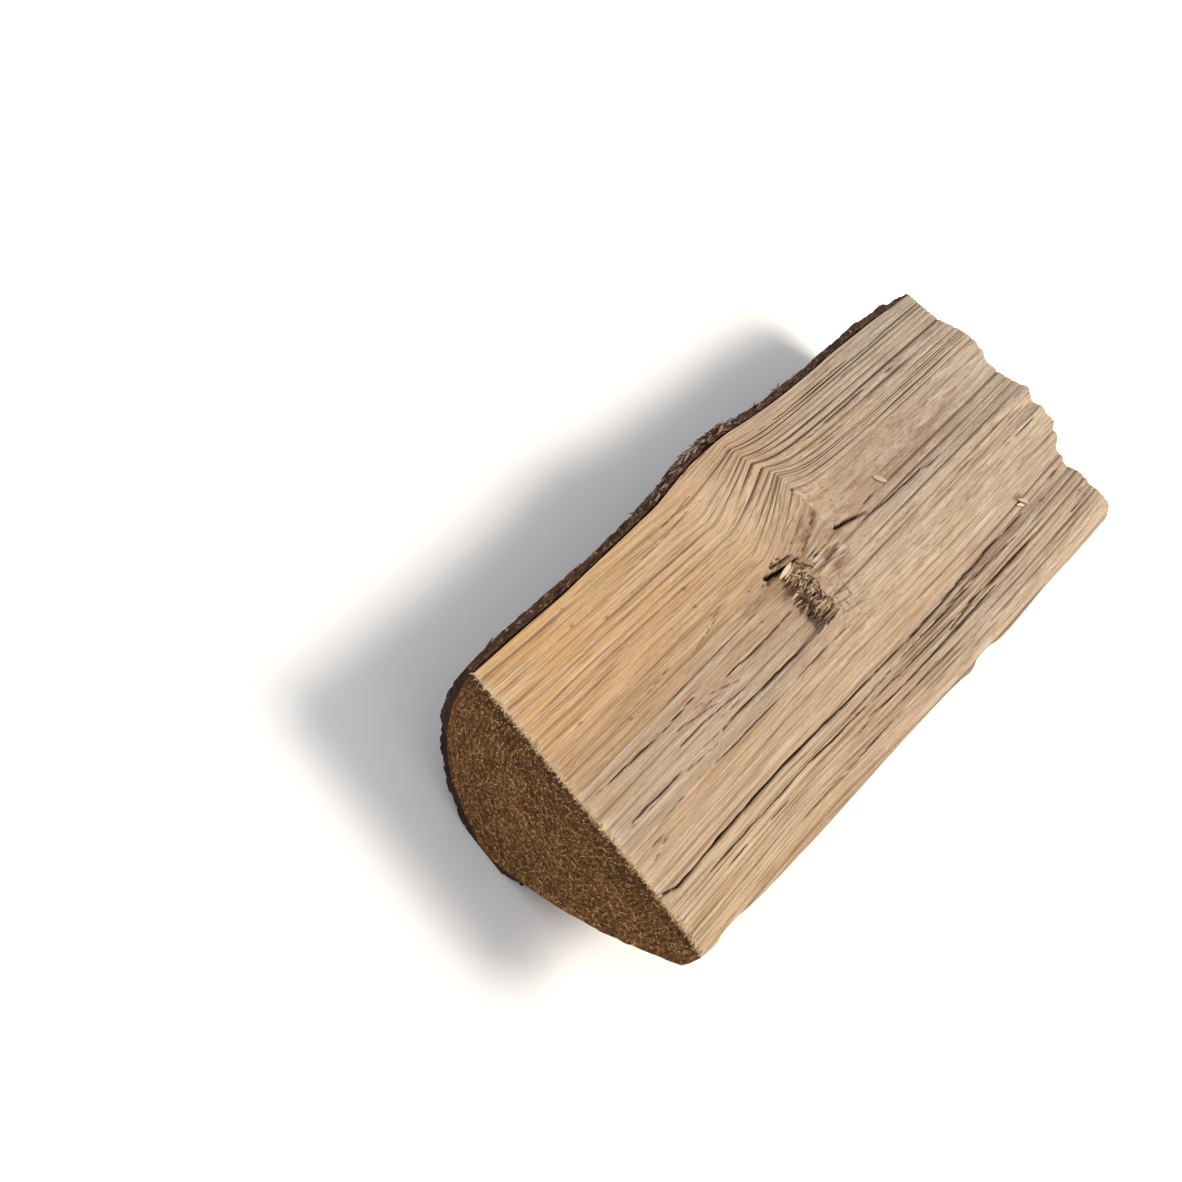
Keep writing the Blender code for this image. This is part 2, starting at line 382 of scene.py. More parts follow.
def ring_ridges(line, across, along):
    """Height of the ridges, and how much of a groove each point lies in, from 0 to 1."""
    index = np.clip(np.searchsorted(BORDERS, line) - 1, 0, len(BORDERS) - 2)
    before, after = line - BORDERS[index], BORDERS[index + 1] - line
    nearest = np.where(before < after, index, index + 1)
    gap = np.minimum(before, after)
    patchy = np.clip(0.7 + 0.8 * noise(nearest * 7.3, along / 26.0, 9), 0.08, 1.0)
    depth = GROOVE_DEPTHS[nearest] * patchy
    groove = depth * np.exp(-((gap / (0.14 + 0.16 * depth)) ** 2))
    # A second fine groove inside each ring, where the summer wood starts
    width = before + after
    start = 0.62 + 0.06 * noise(index * 3.1, along / 30.0, 8)
    fine_gap = np.abs(before / width - start) * width
    fine = np.clip(0.2 + 0.9 * noise(index * 5.7, along / 18.0, 7), 0.0, 1.0)
    fine = fine * np.exp(-((fine_gap / 0.16) ** 2))
    crown = 4.0 * before * after / width**2
    height = ridge_strength(across, along) * (0.45 * crown - 1.5 * groove - 0.5 * fine)
    return height, np.maximum(groove, 0.45 * fine)


print(len(BORDERS), "grooves, the widest ring", round(float(np.diff(BORDERS).max()), 1), "mm")

# %% [markdown]
# ## Drying checks
# Wood shrinks as it dries and opens along its rays. Each check here is a crooked line along
# the grain, given by a few points, with its width and depth. It keeps its width for most of
# its length and runs out to nothing at its ends, but stays open where a saw cut crosses it.
# The first two are the bold ones that show from far away.

# %% Checks
CHECKS = (      # points as (across, along), then width and depth
    (((67.2, -6), (67.7, 0), (69.1, 4.3), (68.9, 21), (69.1, 46), (69.3, 57), (69.9, 68),
      (70.4, 79), (71.1, 89), (71.6, 100), (72.2, 112)), 0.62, 2.6),
    (((71.9, 106), (72.7, 125), (73.3, 140), (73.5, 154), (73.3, 166), (73.8, 179), (73.5, 187),
      (74.2, 199), (74.6, 209), (74.2, 217)), 0.62, 2.6),
    (((74.4, 128), (75.6, 140), (76.2, 154), (76.4, 179), (77.0, 191), (78.0, 205)), 0.5, 1.6),
    (((75.1, 136), (75.4, 160), (75.2, 186)), 0.32, 0.9),
    (((72.6, 14), (73.1, 36), (73.6, 50), (73.7, 64), (74.9, 76), (75.4, 92)), 0.40, 1.5),
    (((75.7, 38), (76.0, 51)), 0.30, 0.9),
    (((75.1, 30), (75.1, 21)), 0.30, 0.9),
    (((79.3, 85), (79.0, 92)), 0.36, 1.2),
    (((78.3, 93), (78.8, 101)), 0.30, 0.9),
    (((84.1, 104), (83.6, 89), (83.2, 76), (82.5, 64), (82.0, 48)), 0.34, 1.1),
    (((57.1, 101), (57.0, 82)), 0.34, 1.1),
    (((57.1, 77), (56.8, 64), (56.6, 50), (56.1, 39), (55.9, 35), (55.4, 31)), 0.36, 1.2),
    (((55.9, 25), (55.9, 12)), 0.30, 0.9),
    (((53.2, 106), (52.8, 100), (52.7, 89), (52.3, 79), (52.0, 68), (51.6, 57), (51.7, 51),
      (52.5, 47)), 0.60, 2.0),
    (((52.0, 52), (51.4, 43), (51.2, 38)), 0.28, 0.8),
    (((51.4, 30), (51.4, 26), (51.6, 21), (51.1, 14), (51.3, 5)), 0.46, 1.7),
    (((51.9, 16), (51.8, 9), (52.0, 4)), 0.30, 0.8),
    (((44.0, 104), (43.7, 100), (43.9, 86), (43.7, 71), (43.2, 69), (43.1, 58)), 0.42, 1.6),
    (((40.7, 53), (41.1, 43), (41.3, 36), (41.3, 29), (41.0, 21), (40.9, 14), (40.6, 3)), 0.44, 1.6),
    (((46.8, 67), (45.4, 62), (43.9, 57), (43.2, 53)), 0.34, 1.2),
    (((48.7, 67), (48.2, 60), (47.9, 56), (47.4, 49), (47.0, 46), (47.1, 39), (47.0, 28)), 0.36, 1.3),
    (((46.8, 55), (45.4, 50), (45.1, 46), (44.6, 43), (43.9, 39), (44.1, 35)), 0.32, 1.1),
    (((43.6, 51), (42.9, 44)), 0.28, 0.8),
    (((49.8, 63), (49.4, 52), (48.9, 44)), 0.24, 0.7),
    (((45.8, 59), (44.6, 53), (43.9, 46)), 0.24, 0.7),
    (((53.2, 45), (52.5, 34), (52.0, 28)), 0.30, 1.0),
    (((30.4, 76), (31.8, 66), (32.9, 59)), 0.28, 0.9),
    (((29.2, 82), (29.2, 71)), 0.38, 1.2),
    (((29.9, 80), (29.9, 71)), 0.24, 0.7),
    (((31.1, 52), (31.9, 39), (32.4, 30)), 0.26, 0.8),
    (((37.0, 100), (37.1, 50), (37.5, 36)), 0.28, 0.8),
    (((58.4, 12), (58.4, 6)), 0.34, 1.1),
    (((59.3, 12), (60.4, 8), (61.1, 4)), 0.34, 1.1),
    (((1.5, 101), (2.2, 93), (2.9, 87), (3.3, 80)), 0.28, 0.7),
    (((4.0, 101), (4.6, 91), (5.1, 86), (5.8, 79), (6.1, 70), (6.4, 58)), 0.28, 0.7),
    (((19.0, 100), (19.0, 70), (18.9, 20)), 0.24, 0.5),
    (((80.9, 140), (80.6, 145), (80.4, 154), (80.0, 164), (81.0, 179), (81.4, 191), (82.0, 204),
      (81.8, 216)), 0.60, 2.2),
    (((82.0, 144), (82.3, 162), (82.5, 179), (83.0, 192)), 0.42, 1.5),
    (((74.2, 80), (74.4, 100), (75.0, 125), (75.9, 142), (76.4, 165)), 0.34, 1.1),
    (((75.4, 84), (75.9, 95), (76.9, 110), (77.9, 125), (78.7, 138), (79.5, 155), (79.8, 172)), 0.40, 1.3),
    (((78.3, 93), (79.5, 103), (80.4, 115), (81.1, 130), (81.5, 145), (82.1, 160), (82.4, 176)), 0.46, 1.5),
    (((82.6, 108), (83.1, 118), (83.4, 128), (82.9, 133)), 0.26, 0.8),
    (((84.6, 252), (84.1, 244)), 0.36, 1.2),
    (((87.0, 252), (87.0, 235)), 0.34, 1.1),
    (((75.4, 226), (78.3, 230), (81.8, 233)), 0.34, 1.0),
    (((74.2, 248), (74.2, 239)), 0.42, 1.4),
    (((75.0, 242), (75.0, 235)), 0.28, 0.8),
    (((56.7, 260), (56.7, 240)), 0.46, 1.6),
    (((56.2, 237), (56.4, 228)), 0.28, 0.9),
    (((51.0, 262), (51.0, 248), (50.8, 240)), 0.34, 1.1),
    (((49.3, 240), (49.3, 232)), 0.30, 0.9),
    (((60.4, 241), (60.4, 235)), 0.30, 0.9),
    (((50.7, 213), (50.7, 199)), 0.30, 0.9),
    (((50.7, 190), (50.7, 184)), 0.34, 1.0),
    (((47.1, 192), (47.1, 172), (48.5, 162)), 0.28, 0.8),
    (((58.5, 198), (58.5, 194)), 0.32, 0.9),
    (((38.9, 146), (40.0, 150), (40.4, 157), (41.1, 164), (41.2, 175), (41.5, 188), (42.5, 191),
      (42.5, 202)), 0.50, 1.6),
    (((39.9, 151), (39.9, 145)), 0.30, 1.0),
    (((35.8, 166), (36.5, 159), (36.9, 152)), 0.40, 1.3),
    (((33.8, 220), (33.8, 205), (33.3, 193), (33.3, 168)), 0.30, 0.9),
    (((14.9, 182), (14.9, 154)), 0.40, 1.1),
    (((11.8, 260), (11.8, 224)), 0.36, 1.0),
    (((11.8, 224), (11.8, 206)), 0.46, 1.5),
    (((11.2, 196), (11.2, 152)), 0.60, 1.6),
    (((0.9, 198), (0.85, 155), (0.25, 138)), 0.50, 1.4),
    (((2.0, 224), (2.0, 196)), 0.34, 1.0),
    (((3.9, 197), (3.9, 187)), 0.28, 0.8),
    (((20.8, 240), (20.8, 230)), 0.30, 0.9),
    (((20.8, 221), (20.8, 192)), 0.30, 0.9),
    (((27.8, 220), (27.8, 202)), 0.28, 0.8),
    (((17.0, 247), (17.0, 222)), 0.28, 0.8),
    (((26.2, 200), (26.2, 166)), 0.26, 0.7),
    (((57.8, 115), (57.5, 110), (57.2, 103)), 0.26, 0.8),
)
CHECK_WOBBLE = 0.12
CHECK_DEPTH = 0.6           # the depths above are for a fresh, sharp check; weather rounds it
CHECK_HALF = 0.44           # half of the width, less a little for the soft edge


def drying_checks(across, along):
    """Height of all the checks together, and the painted shade inside them."""
    height, dark = np.zeros_like(across), np.zeros_like(across)
    for number, (points, width, depth) in enumerate(CHECKS):
        points = sorted(points, key=lambda point: point[1])
        places, ends = np.array([point[1] for point in points]), np.array([point[0] for point in points])
        middle = np.interp(along, places, ends) + CHECK_WOBBLE * noise(along / 2.6, 0.5, 20 + number)
        share = np.clip((along - places[0]) / (places[-1] - places[0]), 0.0, 1.0)
        taper = np.sqrt(np.sin(math.pi * share))
        if places[0] <= 1.0:
            taper = np.where(share < 0.5, 1.0, taper)
        ragged = 0.8 + 0.45 * noise(along / 4.0, 0.5, 60 + number)
        half = np.maximum(CHECK_HALF * width * taper * ragged, 0.05)
        gap = np.abs(across - middle) / half
        inside = (along > places[0]) & (along < places[-1])
        strength = np.clip(1.6 * taper, 0.0, 1.0) * inside
        height -= CHECK_DEPTH * depth * strength * np.exp(-(gap**2) / 1.6)
        # Painted shade: the inside of each check is painted dark, more so the deeper it is.
        deep = 0.42 + 0.58 * smooth_step(0.6, 1.8, depth)
        dark = np.maximum(dark, strength * smooth_step(1.7, 0.6, gap) * deep)
    return height, dark


print(len(CHECKS), "checks, the deepest", max(depth for *_, depth in CHECKS), "mm")

# %% [markdown]
# ## The torn knot
# The branch pulled out when the log was split. It left a ragged lip across the grain, a deep
# hole with splinters on the left, and below the lip a shallow pocket where the fibres came
# off. Above the lip, a fan of grey fibres runs up from the knot. A long ledge leaves it
# towards the far end, because the split changed there from one ring to the next.

# %% Knot
POCKET_LEFT, POCKET_RIGHT, POCKET_START = 36.6, 52.7, 52.0
LIP_ALONG = 104.5
POCKET_DEPTH = 1.9
LEDGE = (       # along, across
    (114, 34.6), (136, 36.0), (144, 37.5), (151, 39.4), (157, 40.4), (164, 41.1), (188, 41.5),
    (200, 42.5),
)
LEDGE_RISE = ((112, 0.0), (134, 0.6), (142, 1.7), (152, 1.1), (170, 0.8), (190, 0.7), (204, 0.0))
FAN = (40.0, 124.5, 5.0, 9.5)            # across, along, half width, half length
FAN_ROOT = (39.5, 92.0)
CUTS = (        # points as (across, along), width at each end, depth, darkness of the painted shade in it
    (((32.2, 113), (31.7, 108), (31.0, 103.5)), (0.4, 0.7), 1.4, 0.85),
    (((34.2, 115), (33.9, 108), (33.2, 104), (32.4, 99.5)), (0.5, 1.5), 3.0, 1.0),
    (((30.5, 108.6), (30.5, 107.4)), (0.6, 0.5), 0.8, 0.75),
    (((30.3, 105.4), (30.4, 104.6)), (0.5, 0.5), 0.7, 0.7),
    (((33.8, 98.9), (33.8, 98.0)), (0.6, 0.5), 0.8, 0.7),
    (((33.0, 97.0), (33.0, 96.0)), (0.5, 0.4), 0.6, 0.6),
    (((34.5, 113.2), (37.2, 113.8)), (0.5, 0.35), 1.0, 0.8),
    (((40.2, 131), (40.5, 124)), (0.3, 0.4), 0.7, 0.7),
    (((37.5, 123.0), (37.5, 121.0)), (0.4, 0.4), 0.6, 0.65),
    (((38.5, 119.4), (38.5, 117.6)), (0.4, 0.4), 0.6, 0.65),
    (((35.9, 136.6), (36.7, 140.5), (37.4, 144.5), (37.9, 148), (38.6, 151.5)), (1.3, 0.7), 2.0, 0.95),
    (((43.2, 105.2), (46.0, 105.9), (48.6, 105.3), (51.0, 106.2)), (1.2, 1.6), 1.6, 0.8),
    (((28.2, 134.2), (29.2, 131.5), (30.2, 129.0)), (1.3, 0.8), 0.8, 0.6),
    (((33.9, 118.0), (33.0, 122.5), (31.6, 127.0)), (0.6, 0.3), 0.8, 0.6),
    (((30.9, 126.0), (30.4, 121.0), (30.0, 117.0)), (0.35, 0.3), 0.5, 0.45),
    (((26.6, 118.5), (25.9, 122.0), (25.4, 125.5)), (0.4, 0.3), 0.5, 0.5),
    (((52.6, 106), (52.7, 110), (52.4, 113.4)), (0.7, 0.4), 1.6, 0.85),
    (((37.5, 107.5), (39.6, 106.6), (42.0, 107.4)), (0.8, 0.9), 1.4, 0.8),
    (((41.9, 109), (41.6, 112.4)), (0.6, 0.4), 1.2, 0.7),
    (((44.6, 108), (45.0, 112.0)), (0.5, 0.5), 1.2, 0.7),
    (((38.9, 109.5), (38.5, 112.5)), (0.5, 0.4), 1.0, 0.65),
    (((19.2, 133.0), (19.2, 133.8)), (0.9, 0.6), 0.8, 0.75),
    (((50.3, 122.5), (54.8, 121.6)), (0.34, 0.30), 0.3, 0.62),
    (((49.0, 119.4), (54.5, 118.0)), (0.34, 0.30), 0.3, 0.62),
    (((48.8, 116.7), (51.5, 115.5), (54.0, 115.0)), (0.34, 0.30), 0.3, 0.62),
    (((50.2, 124.3), (50.0, 122.0), (49.5, 119.0), (48.9, 116.8)), (0.34, 0.30), 0.3, 0.62),
    (((52.4, 122.3), (52.0, 119.0), (51.3, 115.6)), (0.34, 0.30), 0.3, 0.62),
    (((55.5, 124.0), (55.3, 120.5), (54.8, 117.0), (54.2, 114.0)), (0.34, 0.30), 0.3, 0.62),
)
SPOTS = (       # small dark flecks: across, along, half size
    (19.2, 71.8, 0.5), (24.6, 70.7, 0.45), (11.6, 43.8, 0.4), (2.7, 34.0, 0.4), (7.4, 32.8, 0.4),
    (33.7, 27.7, 0.45), (24.7, 58.2, 0.35), (20.6, 39.6, 0.35), (31.6, 90.5, 0.5), (40.0, 87.6, 0.4),
    (26.1, 14.3, 0.35), (69.8, 217.5, 1.3), (70.6, 219.4, 1.0), (72.5, 216.0, 0.9),
)
STAINS = (      # soft brown marks: points, half width, strength
    (((28, 133.5), (30.5, 130), (31.5, 124), (33.5, 118), (34, 116)), 1.6, 0.85),
    (((45.2, 125), (45.0, 133.5)), 0.8, 0.4),
    (((31.5, 92), (32.3, 101)), 2.2, 0.35),
    (((36.5, 116.5), (42.5, 116.0)), 1.8, 0.45),
    (((25.0, 150), (25.0, 182)), 3.0, 0.36),
    (((33.0, 146), (33.0, 164)), 3.0, 0.3),
    (((26.2, 80), (26.4, 100)), 0.8, 0.3),
    (((35.2, 52), (35.4, 100)), 1.1, 0.38),
    (((34.5, 84), (34.8, 114)), 3.2, 0.6),
    (((38.5, 98), (38.0, 104)), 1.8, 0.4),
    (((34, 0), (34.5, 60), (34.5, 100)), 4.5, 0.26),
    (((31, 118), (31, 145), (31, 175), (30, 215)), 8.0, 0.26),
    (((41, 72), (44, 101)), 7.0, 0.22),
    (((19.4, 71.8), (24.4, 70.9)), 0.3, 0.4),
    (((74.9, 142), (75.2, 176), (75.6, 208)), 1.4, 0.2),
)


def line_gap(points, across, along):
    """Distance to a broken line, and how far along the line its nearest point is, from 0 to 1."""
    best, share = np.full(across.shape, 99.0), np.zeros(across.shape)
    for index, (start, end) in enumerate(zip(points, points[1:])):
        way = (end[0] - start[0], end[1] - start[1])
        part = ((across - start[0]) * way[0] + (along - start[1]) * way[1]) / (way[0] ** 2 + way[1] ** 2)
        part = np.clip(part, 0.0, 1.0)
        gap = np.hypot(across - start[0] - part * way[0], along - start[1] - part * way[1])
        share = np.where(gap < best, (index + part) / (len(points) - 1), share)
        best = np.minimum(best, gap)
    return best, share


def knot_cuts(across, along):
    """Height of the cracks, holes and flecks, with painted shade in the cracks and holes and the flecks'
    own dark colour.
    """
    height, dark = np.zeros_like(across), np.zeros_like(across)
    jagged = 0.32 * noise(across / 0.7, along / 1.1, 45) + 0.12 * noise(across / 0.3, along / 0.5, 29)
    for points, (start, end), depth, darkness in CUTS:
        gap, share = line_gap(points, across, along)
        half = 0.5 * mix(start, end, share)
        gap = (gap + jagged * np.minimum(half, 0.5) * 2.0) / half
        height = np.minimum(height, -depth * np.exp(-np.maximum(gap, 0.0) ** 2 / 1.2))
        dark = np.maximum(dark, darkness * smooth_step(1.45, 0.75, gap))
    for middle, place, size in SPOTS:
        gap = np.hypot(across - middle, (along - place) / 1.3) / size
        gap = gap + 0.35 * noise(across / 0.4, along / 0.5, 46)
        dark = np.maximum(dark, 0.65 * smooth_step(1.3, 0.5, gap))
    return height, dark


def brown_stains(across, along):
    """How brown each point is stained, from 0 to 1."""
    stain = np.zeros_like(across)
    for points, width, strength in STAINS:
        gap, _ = line_gap(points, across, along)
        stain = np.maximum(stain, strength * np.exp(-((gap / width) ** 2)))
    return stain * (0.8 + 0.4 * noise(across / 0.8, along / 3.0, 47))


def lip_line(across):
    """The torn edge: where the upper fibres end."""
    return LIP_ALONG + 1.0 * noise(across / 2.4, 0.5, 31) + 1.3 * noise(across / 0.8, 0.5, 32)


def knot_pocket(across, along):
    """The shallow pocket below the lip, and the shade that lies in it."""
    lip = lip_line(across)
    left = smooth_step(POCKET_LEFT - 0.3, POCKET_LEFT + 2.4, across)
    right = smooth_step(POCKET_RIGHT + 0.2, POCKET_RIGHT - 0.3, across)
    below = smooth_step(lip + 0.4, lip - 0.4, along)
    fall = smooth_step(POCKET_START, LIP_ALONG + 2.0, along) ** 1.4
    depth = POCKET_DEPTH * left * right * below * fall
    return -depth, 0.3 * left * right * below * smooth_step(LIP_ALONG - 7.0, LIP_ALONG, along)


def torn_fibres(across, along):
    """Crumbs and rough fibre ends just above the lip, each with a random tone, darkened as painted shade in
    the cracks between them and near the lip.
    """
    lip = lip_line(across)
    top = 114.2 + 1.6 * noise(across / 2.6, 0.5, 34) + 0.9 * noise(across / 0.9, 0.5, 48)
    zone = smooth_step(lip - 0.4, lip + 0.4, along) * smooth_step(top + 0.6, top - 0.6, along)
    zone = zone * smooth_step(35.5, 37.0, across) * smooth_step(53.2, 52.6, across)
    bent = 0.5 * noise(across / 1.8, along / 1.8, 35)
    lean = across + 0.25 * (along - 108.0) * noise(across / 5.0, along / 5.0, 36)
    number, border = cells((lean + bent) / 0.85, (along + bent) / 1.55, 130)
    crack = np.exp(-((border / 0.13) ** 2))
    low = smooth_step(lip + 3.5, lip + 0.5, along)
    height = zone * (0.1 + 1.2 * number - 0.9 * crack)
    # The tone is made darker in the cracks between crumbs and near the lip, as painted shade.
    tone = np.clip(number - 0.9 * crack - 0.35 * low, 0.0, 1.0)
    return height, zone, tone


def fibre_fan(across, along):
    """Grey fibres that spread upwards from the knot."""
    middle, place, width, length = FAN
    lean = across - middle - 0.12 * (along - place)
    zone = smooth_step(1.15, 0.7, np.hypot(lean / width, (along - place) / length))
    angle = np.arctan2(across - FAN_ROOT[0], along - FAN_ROOT[1])
    reach = np.hypot(across - FAN_ROOT[0], along - FAN_ROOT[1])
    strands = noise(angle * 42.0, reach / 7.0, 37) + 0.6 * noise(angle * 90.0, reach / 5.0, 38)
    return zone * 0.7 * strands, zone, strands


def split_ledge(across, along):
    """The step that climbs from the knot towards the far end."""
    line = np.interp(along, *np.array(LEDGE, float).T) + 0.2 * noise(along / 3.0, 0.5, 39)
    rise = np.interp(along, *np.array(LEDGE_RISE, float).T)
    gap = across - line
    return rise * smooth_step(-0.2, 0.3, gap) * np.exp(-np.maximum(gap, 0.0) / 11.0)


def crease_tips(across, along, crease):
    """The crease itself: a row of short fibre tips that bend back, and a groove before them painted dark as
    shade.
    """
    gap = along - crease - 1.3 * noise(across / 2.3, 0.5, 43) - 0.6 * noise(across / 0.7, 0.5, 28)
    zone = smooth_step(13.0, 19.0, across) * smooth_step(36.5, 34.0, across)
    groove = bell(gap, -0.7, 0.7) * zone * (0.7 + 0.5 * noise(across / 1.9, 0.5, 44))
    tips = bell(gap, 0.5, 0.6) * zone * (0.5 + 0.5 * noise(across / 0.5, along / 2.0, 49))
    return 0.4 * tips - 0.3 * groove, 0.22 * groove, tips


print("lip spans", [round(float(lip_line(x)), 1) for x in (37.0, 45.0, 52.0)], "mm along")

# %% [markdown]
# ## One height for the whole face
# The layers add up. Each mark is drawn at the place on the raised face where it shows. We
# keep not only the height, but also masks: where dirt and painted shade lie, where the wood is
# torn, cracked and painted dark as shade, and where fibres are pale. The finish will read them later.

# %% Split face
def split_face(share, line, across, along):
    """Height of the split face, and masks for its finish."""
    rise = broad_shape(share, across, along)
    across, along = as_seen(across, along, rise)
    ridges, groove = ring_ridges(line, across, along)
    checks, check_shade = drying_checks(across, along)
    pocket, pocket_shade = knot_pocket(across, along)
    cuts, cut_shade_and_flecks = knot_cuts(across, along)
    torn, torn_zone, torn_tone_and_shade = torn_fibres(across, along)
    fan, fan_zone, fan_strands = fibre_fan(across, along)
    crease, crease_shade, tips = crease_tips(across, along, curve(CREASE_LINE, line))
    quiet = 1.0 - np.clip(torn_zone + 0.8 * fan_zone, 0.0, 0.9)
    fibres = 0.075 * noise(line / 0.55, along / 18.0, 11) + 0.05 * noise(line / 0.3, along / 6.0, 12)
    height = rise + quiet * (ridges + fibres)
    height = height + checks + pocket + cuts + torn + fan + split_ledge(across, along) + crease
    masks = {
        "groove": groove * quiet,
        # Painted shade in checks, cuts and the crease, with dark flecks
        "dark": np.maximum.reduce([check_shade, cut_shade_and_flecks, crease_shade]),
        "shade": pocket_shade,
        "torn": torn_zone,
        "torn_tone_and_shade": torn_tone_and_shade,
        "fan": fan_zone,
        "fan_strands": fan_strands,
        "tips": tips,
        "stain": brown_stains(across, along),
    }
    return height, masks


sample, _ = split_face(*(np.array([value]) for value in (0.5, 45.0, 45.0, 97.0)))
print("height in the pocket:", round(float(sample[0]), 1), "mm")

# %% [markdown]
# ## The wood as one closed mesh
# We stack outlines: each one runs across the split face, then round the trunk. A stack of
# closed outlines makes a skin, and rings that shrink to a point close both sawn ends. The
# stack is denser round the knot, where the shape changes fast.

# %% Build a stack of outlines into a mesh
FACE_COLUMNS = 396
BARE_COLUMNS = 38           # round the bare flank
HIDDEN_COLUMNS = 16         # under the bark, where nothing shows
NEAR_CAP_RINGS, FAR_CAP_RINGS = 17, 8
BARK_STARTS = math.radians(80.0)
FIRST_LINE, LAST_LINE = -0.4, 85.2      # fibre lines of the outermost columns, on average
LEFT_BLEND, RIGHT_BLEND = 9.0, 4.0      # so near the edges, columns leave the fibres


def row_places():
    """Places along the log: close together round the knot."""
    start = np.array([0.0, 0.5, 1.1, 1.9, 3.0])
    near = np.linspace(4.2, 90.0, 72)
    below = np.linspace(90.0, 98.0, 13)[1:]
    knot = np.linspace(98.0, 113.0, 47)[1:]
    above = np.linspace(113.0, 136.0, 37)[1:]
    far = np.linspace(136.0, LENGTH, 50)[1:]
    return np.concatenate([start, near, below, knot, above, far])


def between_cuts(across, along):
    """Moves a place along the log so that the end rows lie in the skewed saw cuts."""
    return mix(NEAR_SKEW * across, LENGTH + FAR_SKEW * across, along / LENGTH)


def column_lines():
    """The fibre line of each column: they crowd where the grooves are."""
    fine = np.linspace(FIRST_LINE, LAST_LINE, 8001)
    gap = np.abs(fine[:, None] - BORDERS[None, :]).min(axis=1)
    crowd = np.cumsum(1.0 + 1.1 * np.exp(-((gap / 0.35) ** 2)))
    crowd = (crowd - crowd[0]) / (crowd[-1] - crowd[0])
    return np.interp(np.linspace(0.0, 1.0, FACE_COLUMNS), crowd, fine)


def face_grid(place):
    """Fibre line, place across and place along for every point of the split face."""
    fixed, grid = column_lines(), np.linspace(-12.0, 104.0, 1161)
    near_left = np.clip(1.0 - (fixed - FIRST_LINE) / LEFT_BLEND, 0.0, 1.0) ** 2
    near_right = np.clip(1.0 - (LAST_LINE - fixed) / RIGHT_BLEND, 0.0, 1.0) ** 2
    lines, across = np.empty((len(place), FACE_COLUMNS)), np.empty((len(place), FACE_COLUMNS))
    for row, at in enumerate(place):
        edges = float(curve(WOOD_EDGE, at)), float(curve(RIGHT_EDGE, at))
        along = between_cuts(grid, at)
        first = fibre_across(grid, along)
        rise = broad_shape((first - edges[0]) / (edges[1] - edges[0]), first, along)
        reached = np.maximum.accumulate(fibre_across(grid, as_seen(first, along, rise)[1]))
        left, right = np.interp(edges, reached, grid)
        lines[row] = fixed + (left - FIRST_LINE) * near_left + (right - LAST_LINE) * near_right
        across[row] = np.clip(np.interp(lines[row], grid, reached), *edges)
        across[row, 0], across[row, -1] = edges
    return lines, across, between_cuts(across, place[:, None])


def grid_quads(rows, columns, closed):
    """Faces between the rows of a grid. A closed grid joins its last column to its first."""
    steps = columns if closed else columns - 1
    row, column = np.meshgrid(np.arange(rows - 1), np.arange(steps), indexing="ij")
    after = (column + 1) % columns
    quads = np.stack([row * columns + column, row * columns + after,
                      (row + 1) * columns + after, (row + 1) * columns + column], axis=-1)
    return quads.reshape(-1, 4)


def wood_outlines():
    """Points of the wood's side, as rows of closed outlines, and the masks of its face."""
    place = row_places()[:, None]
    lines, across, along = face_grid(place[:, 0])
    left, right = curve(WOOD_EDGE, place), curve(RIGHT_EDGE, place)
    up, masks = split_face((across - left) / (right - left), lines, across, along)
    masks["line"] = lines
    bare = np.linspace(0.0, BARK_STARTS, BARE_COLUMNS + 1)[1:]
    hidden = np.linspace(BARK_STARTS, math.pi, HIDDEN_COLUMNS + 1)[1:-1]
    angle = np.concatenate([bare, hidden])[None, :]
    round_across, round_up, out_across, out_up = wood_round(angle, place)
    round_along = between_cuts(round_across, place)
    bumps = 0.28 * rough_noise(angle * 16.0, round_along / 26.0, 14)
    bumps = bumps + 0.12 * noise(angle * 70.0, round_along / 9.0, 15)
    bumps = bumps * smooth_step(0.0, 0.1, angle)
    round_across, round_up = round_across + bumps * out_across, round_up + bumps * out_up
    # The corner of the face carries on a little way down the flank.
    round_up = round_up + np.exp(-angle / 0.05) * up[:, -1:]
    round_up = np.maximum(round_up, -REST_DEPTH)
    points = np.concatenate([
        np.stack([across, along, up], axis=-1),
        np.stack([round_across, round_along, round_up], axis=-1),
    ], axis=1)
    return points, masks


wood_points, face_masks = wood_outlines()
print("wood outlines:", wood_points.shape[0], "rows of", wood_points.shape[1], "points")

# %% [markdown]
# ## The sawn ends
# A chain saw leaves an end rough: the fibres are cut across, so the surface is a fine fuzz
# and not a plane. In each end one short radial check has opened below the heart. The cut
# stays flat overall, because the log can stand on it.

# %% Rings that close an end
HEART = (41.0, -2.0)        # across, up: the middle of the growth rings
END_CHECK = (44.0, -28.0)   # across, up: the middle of the check in each end
CHECK_HALF_WIDTH, CHECK_HALF_HEIGHT = 0.4, 4.0


def end_rings(outline, count, sign, seed):
    """Rings of points that shrink from an end's outline to its middle."""
    middle = np.array([outline[:, 0].mean(), outline[:, 1].mean(), outline[:, 2].min() * 0.42])
    shares = np.linspace(1.0, 0.0, count + 1)[1:-1, None, None]
    rings = middle + (outline[None] - middle) * shares
    across, up = rings[..., 0], rings[..., 2]
    fuzz = 0.34 * noise(across / 0.9, up / 0.9, seed) + 0.22 * noise(across / 2.6, up / 2.2, seed + 1)
    check_across, check_up = END_CHECK
    check = bell(across, check_across + 0.15 * (up - check_up), CHECK_HALF_WIDTH)
    check = check * bell(up, check_up, CHECK_HALF_HEIGHT)
    rings[..., 1] += sign * (fuzz - 0.1 - 1.6 * check)
    return rings, middle


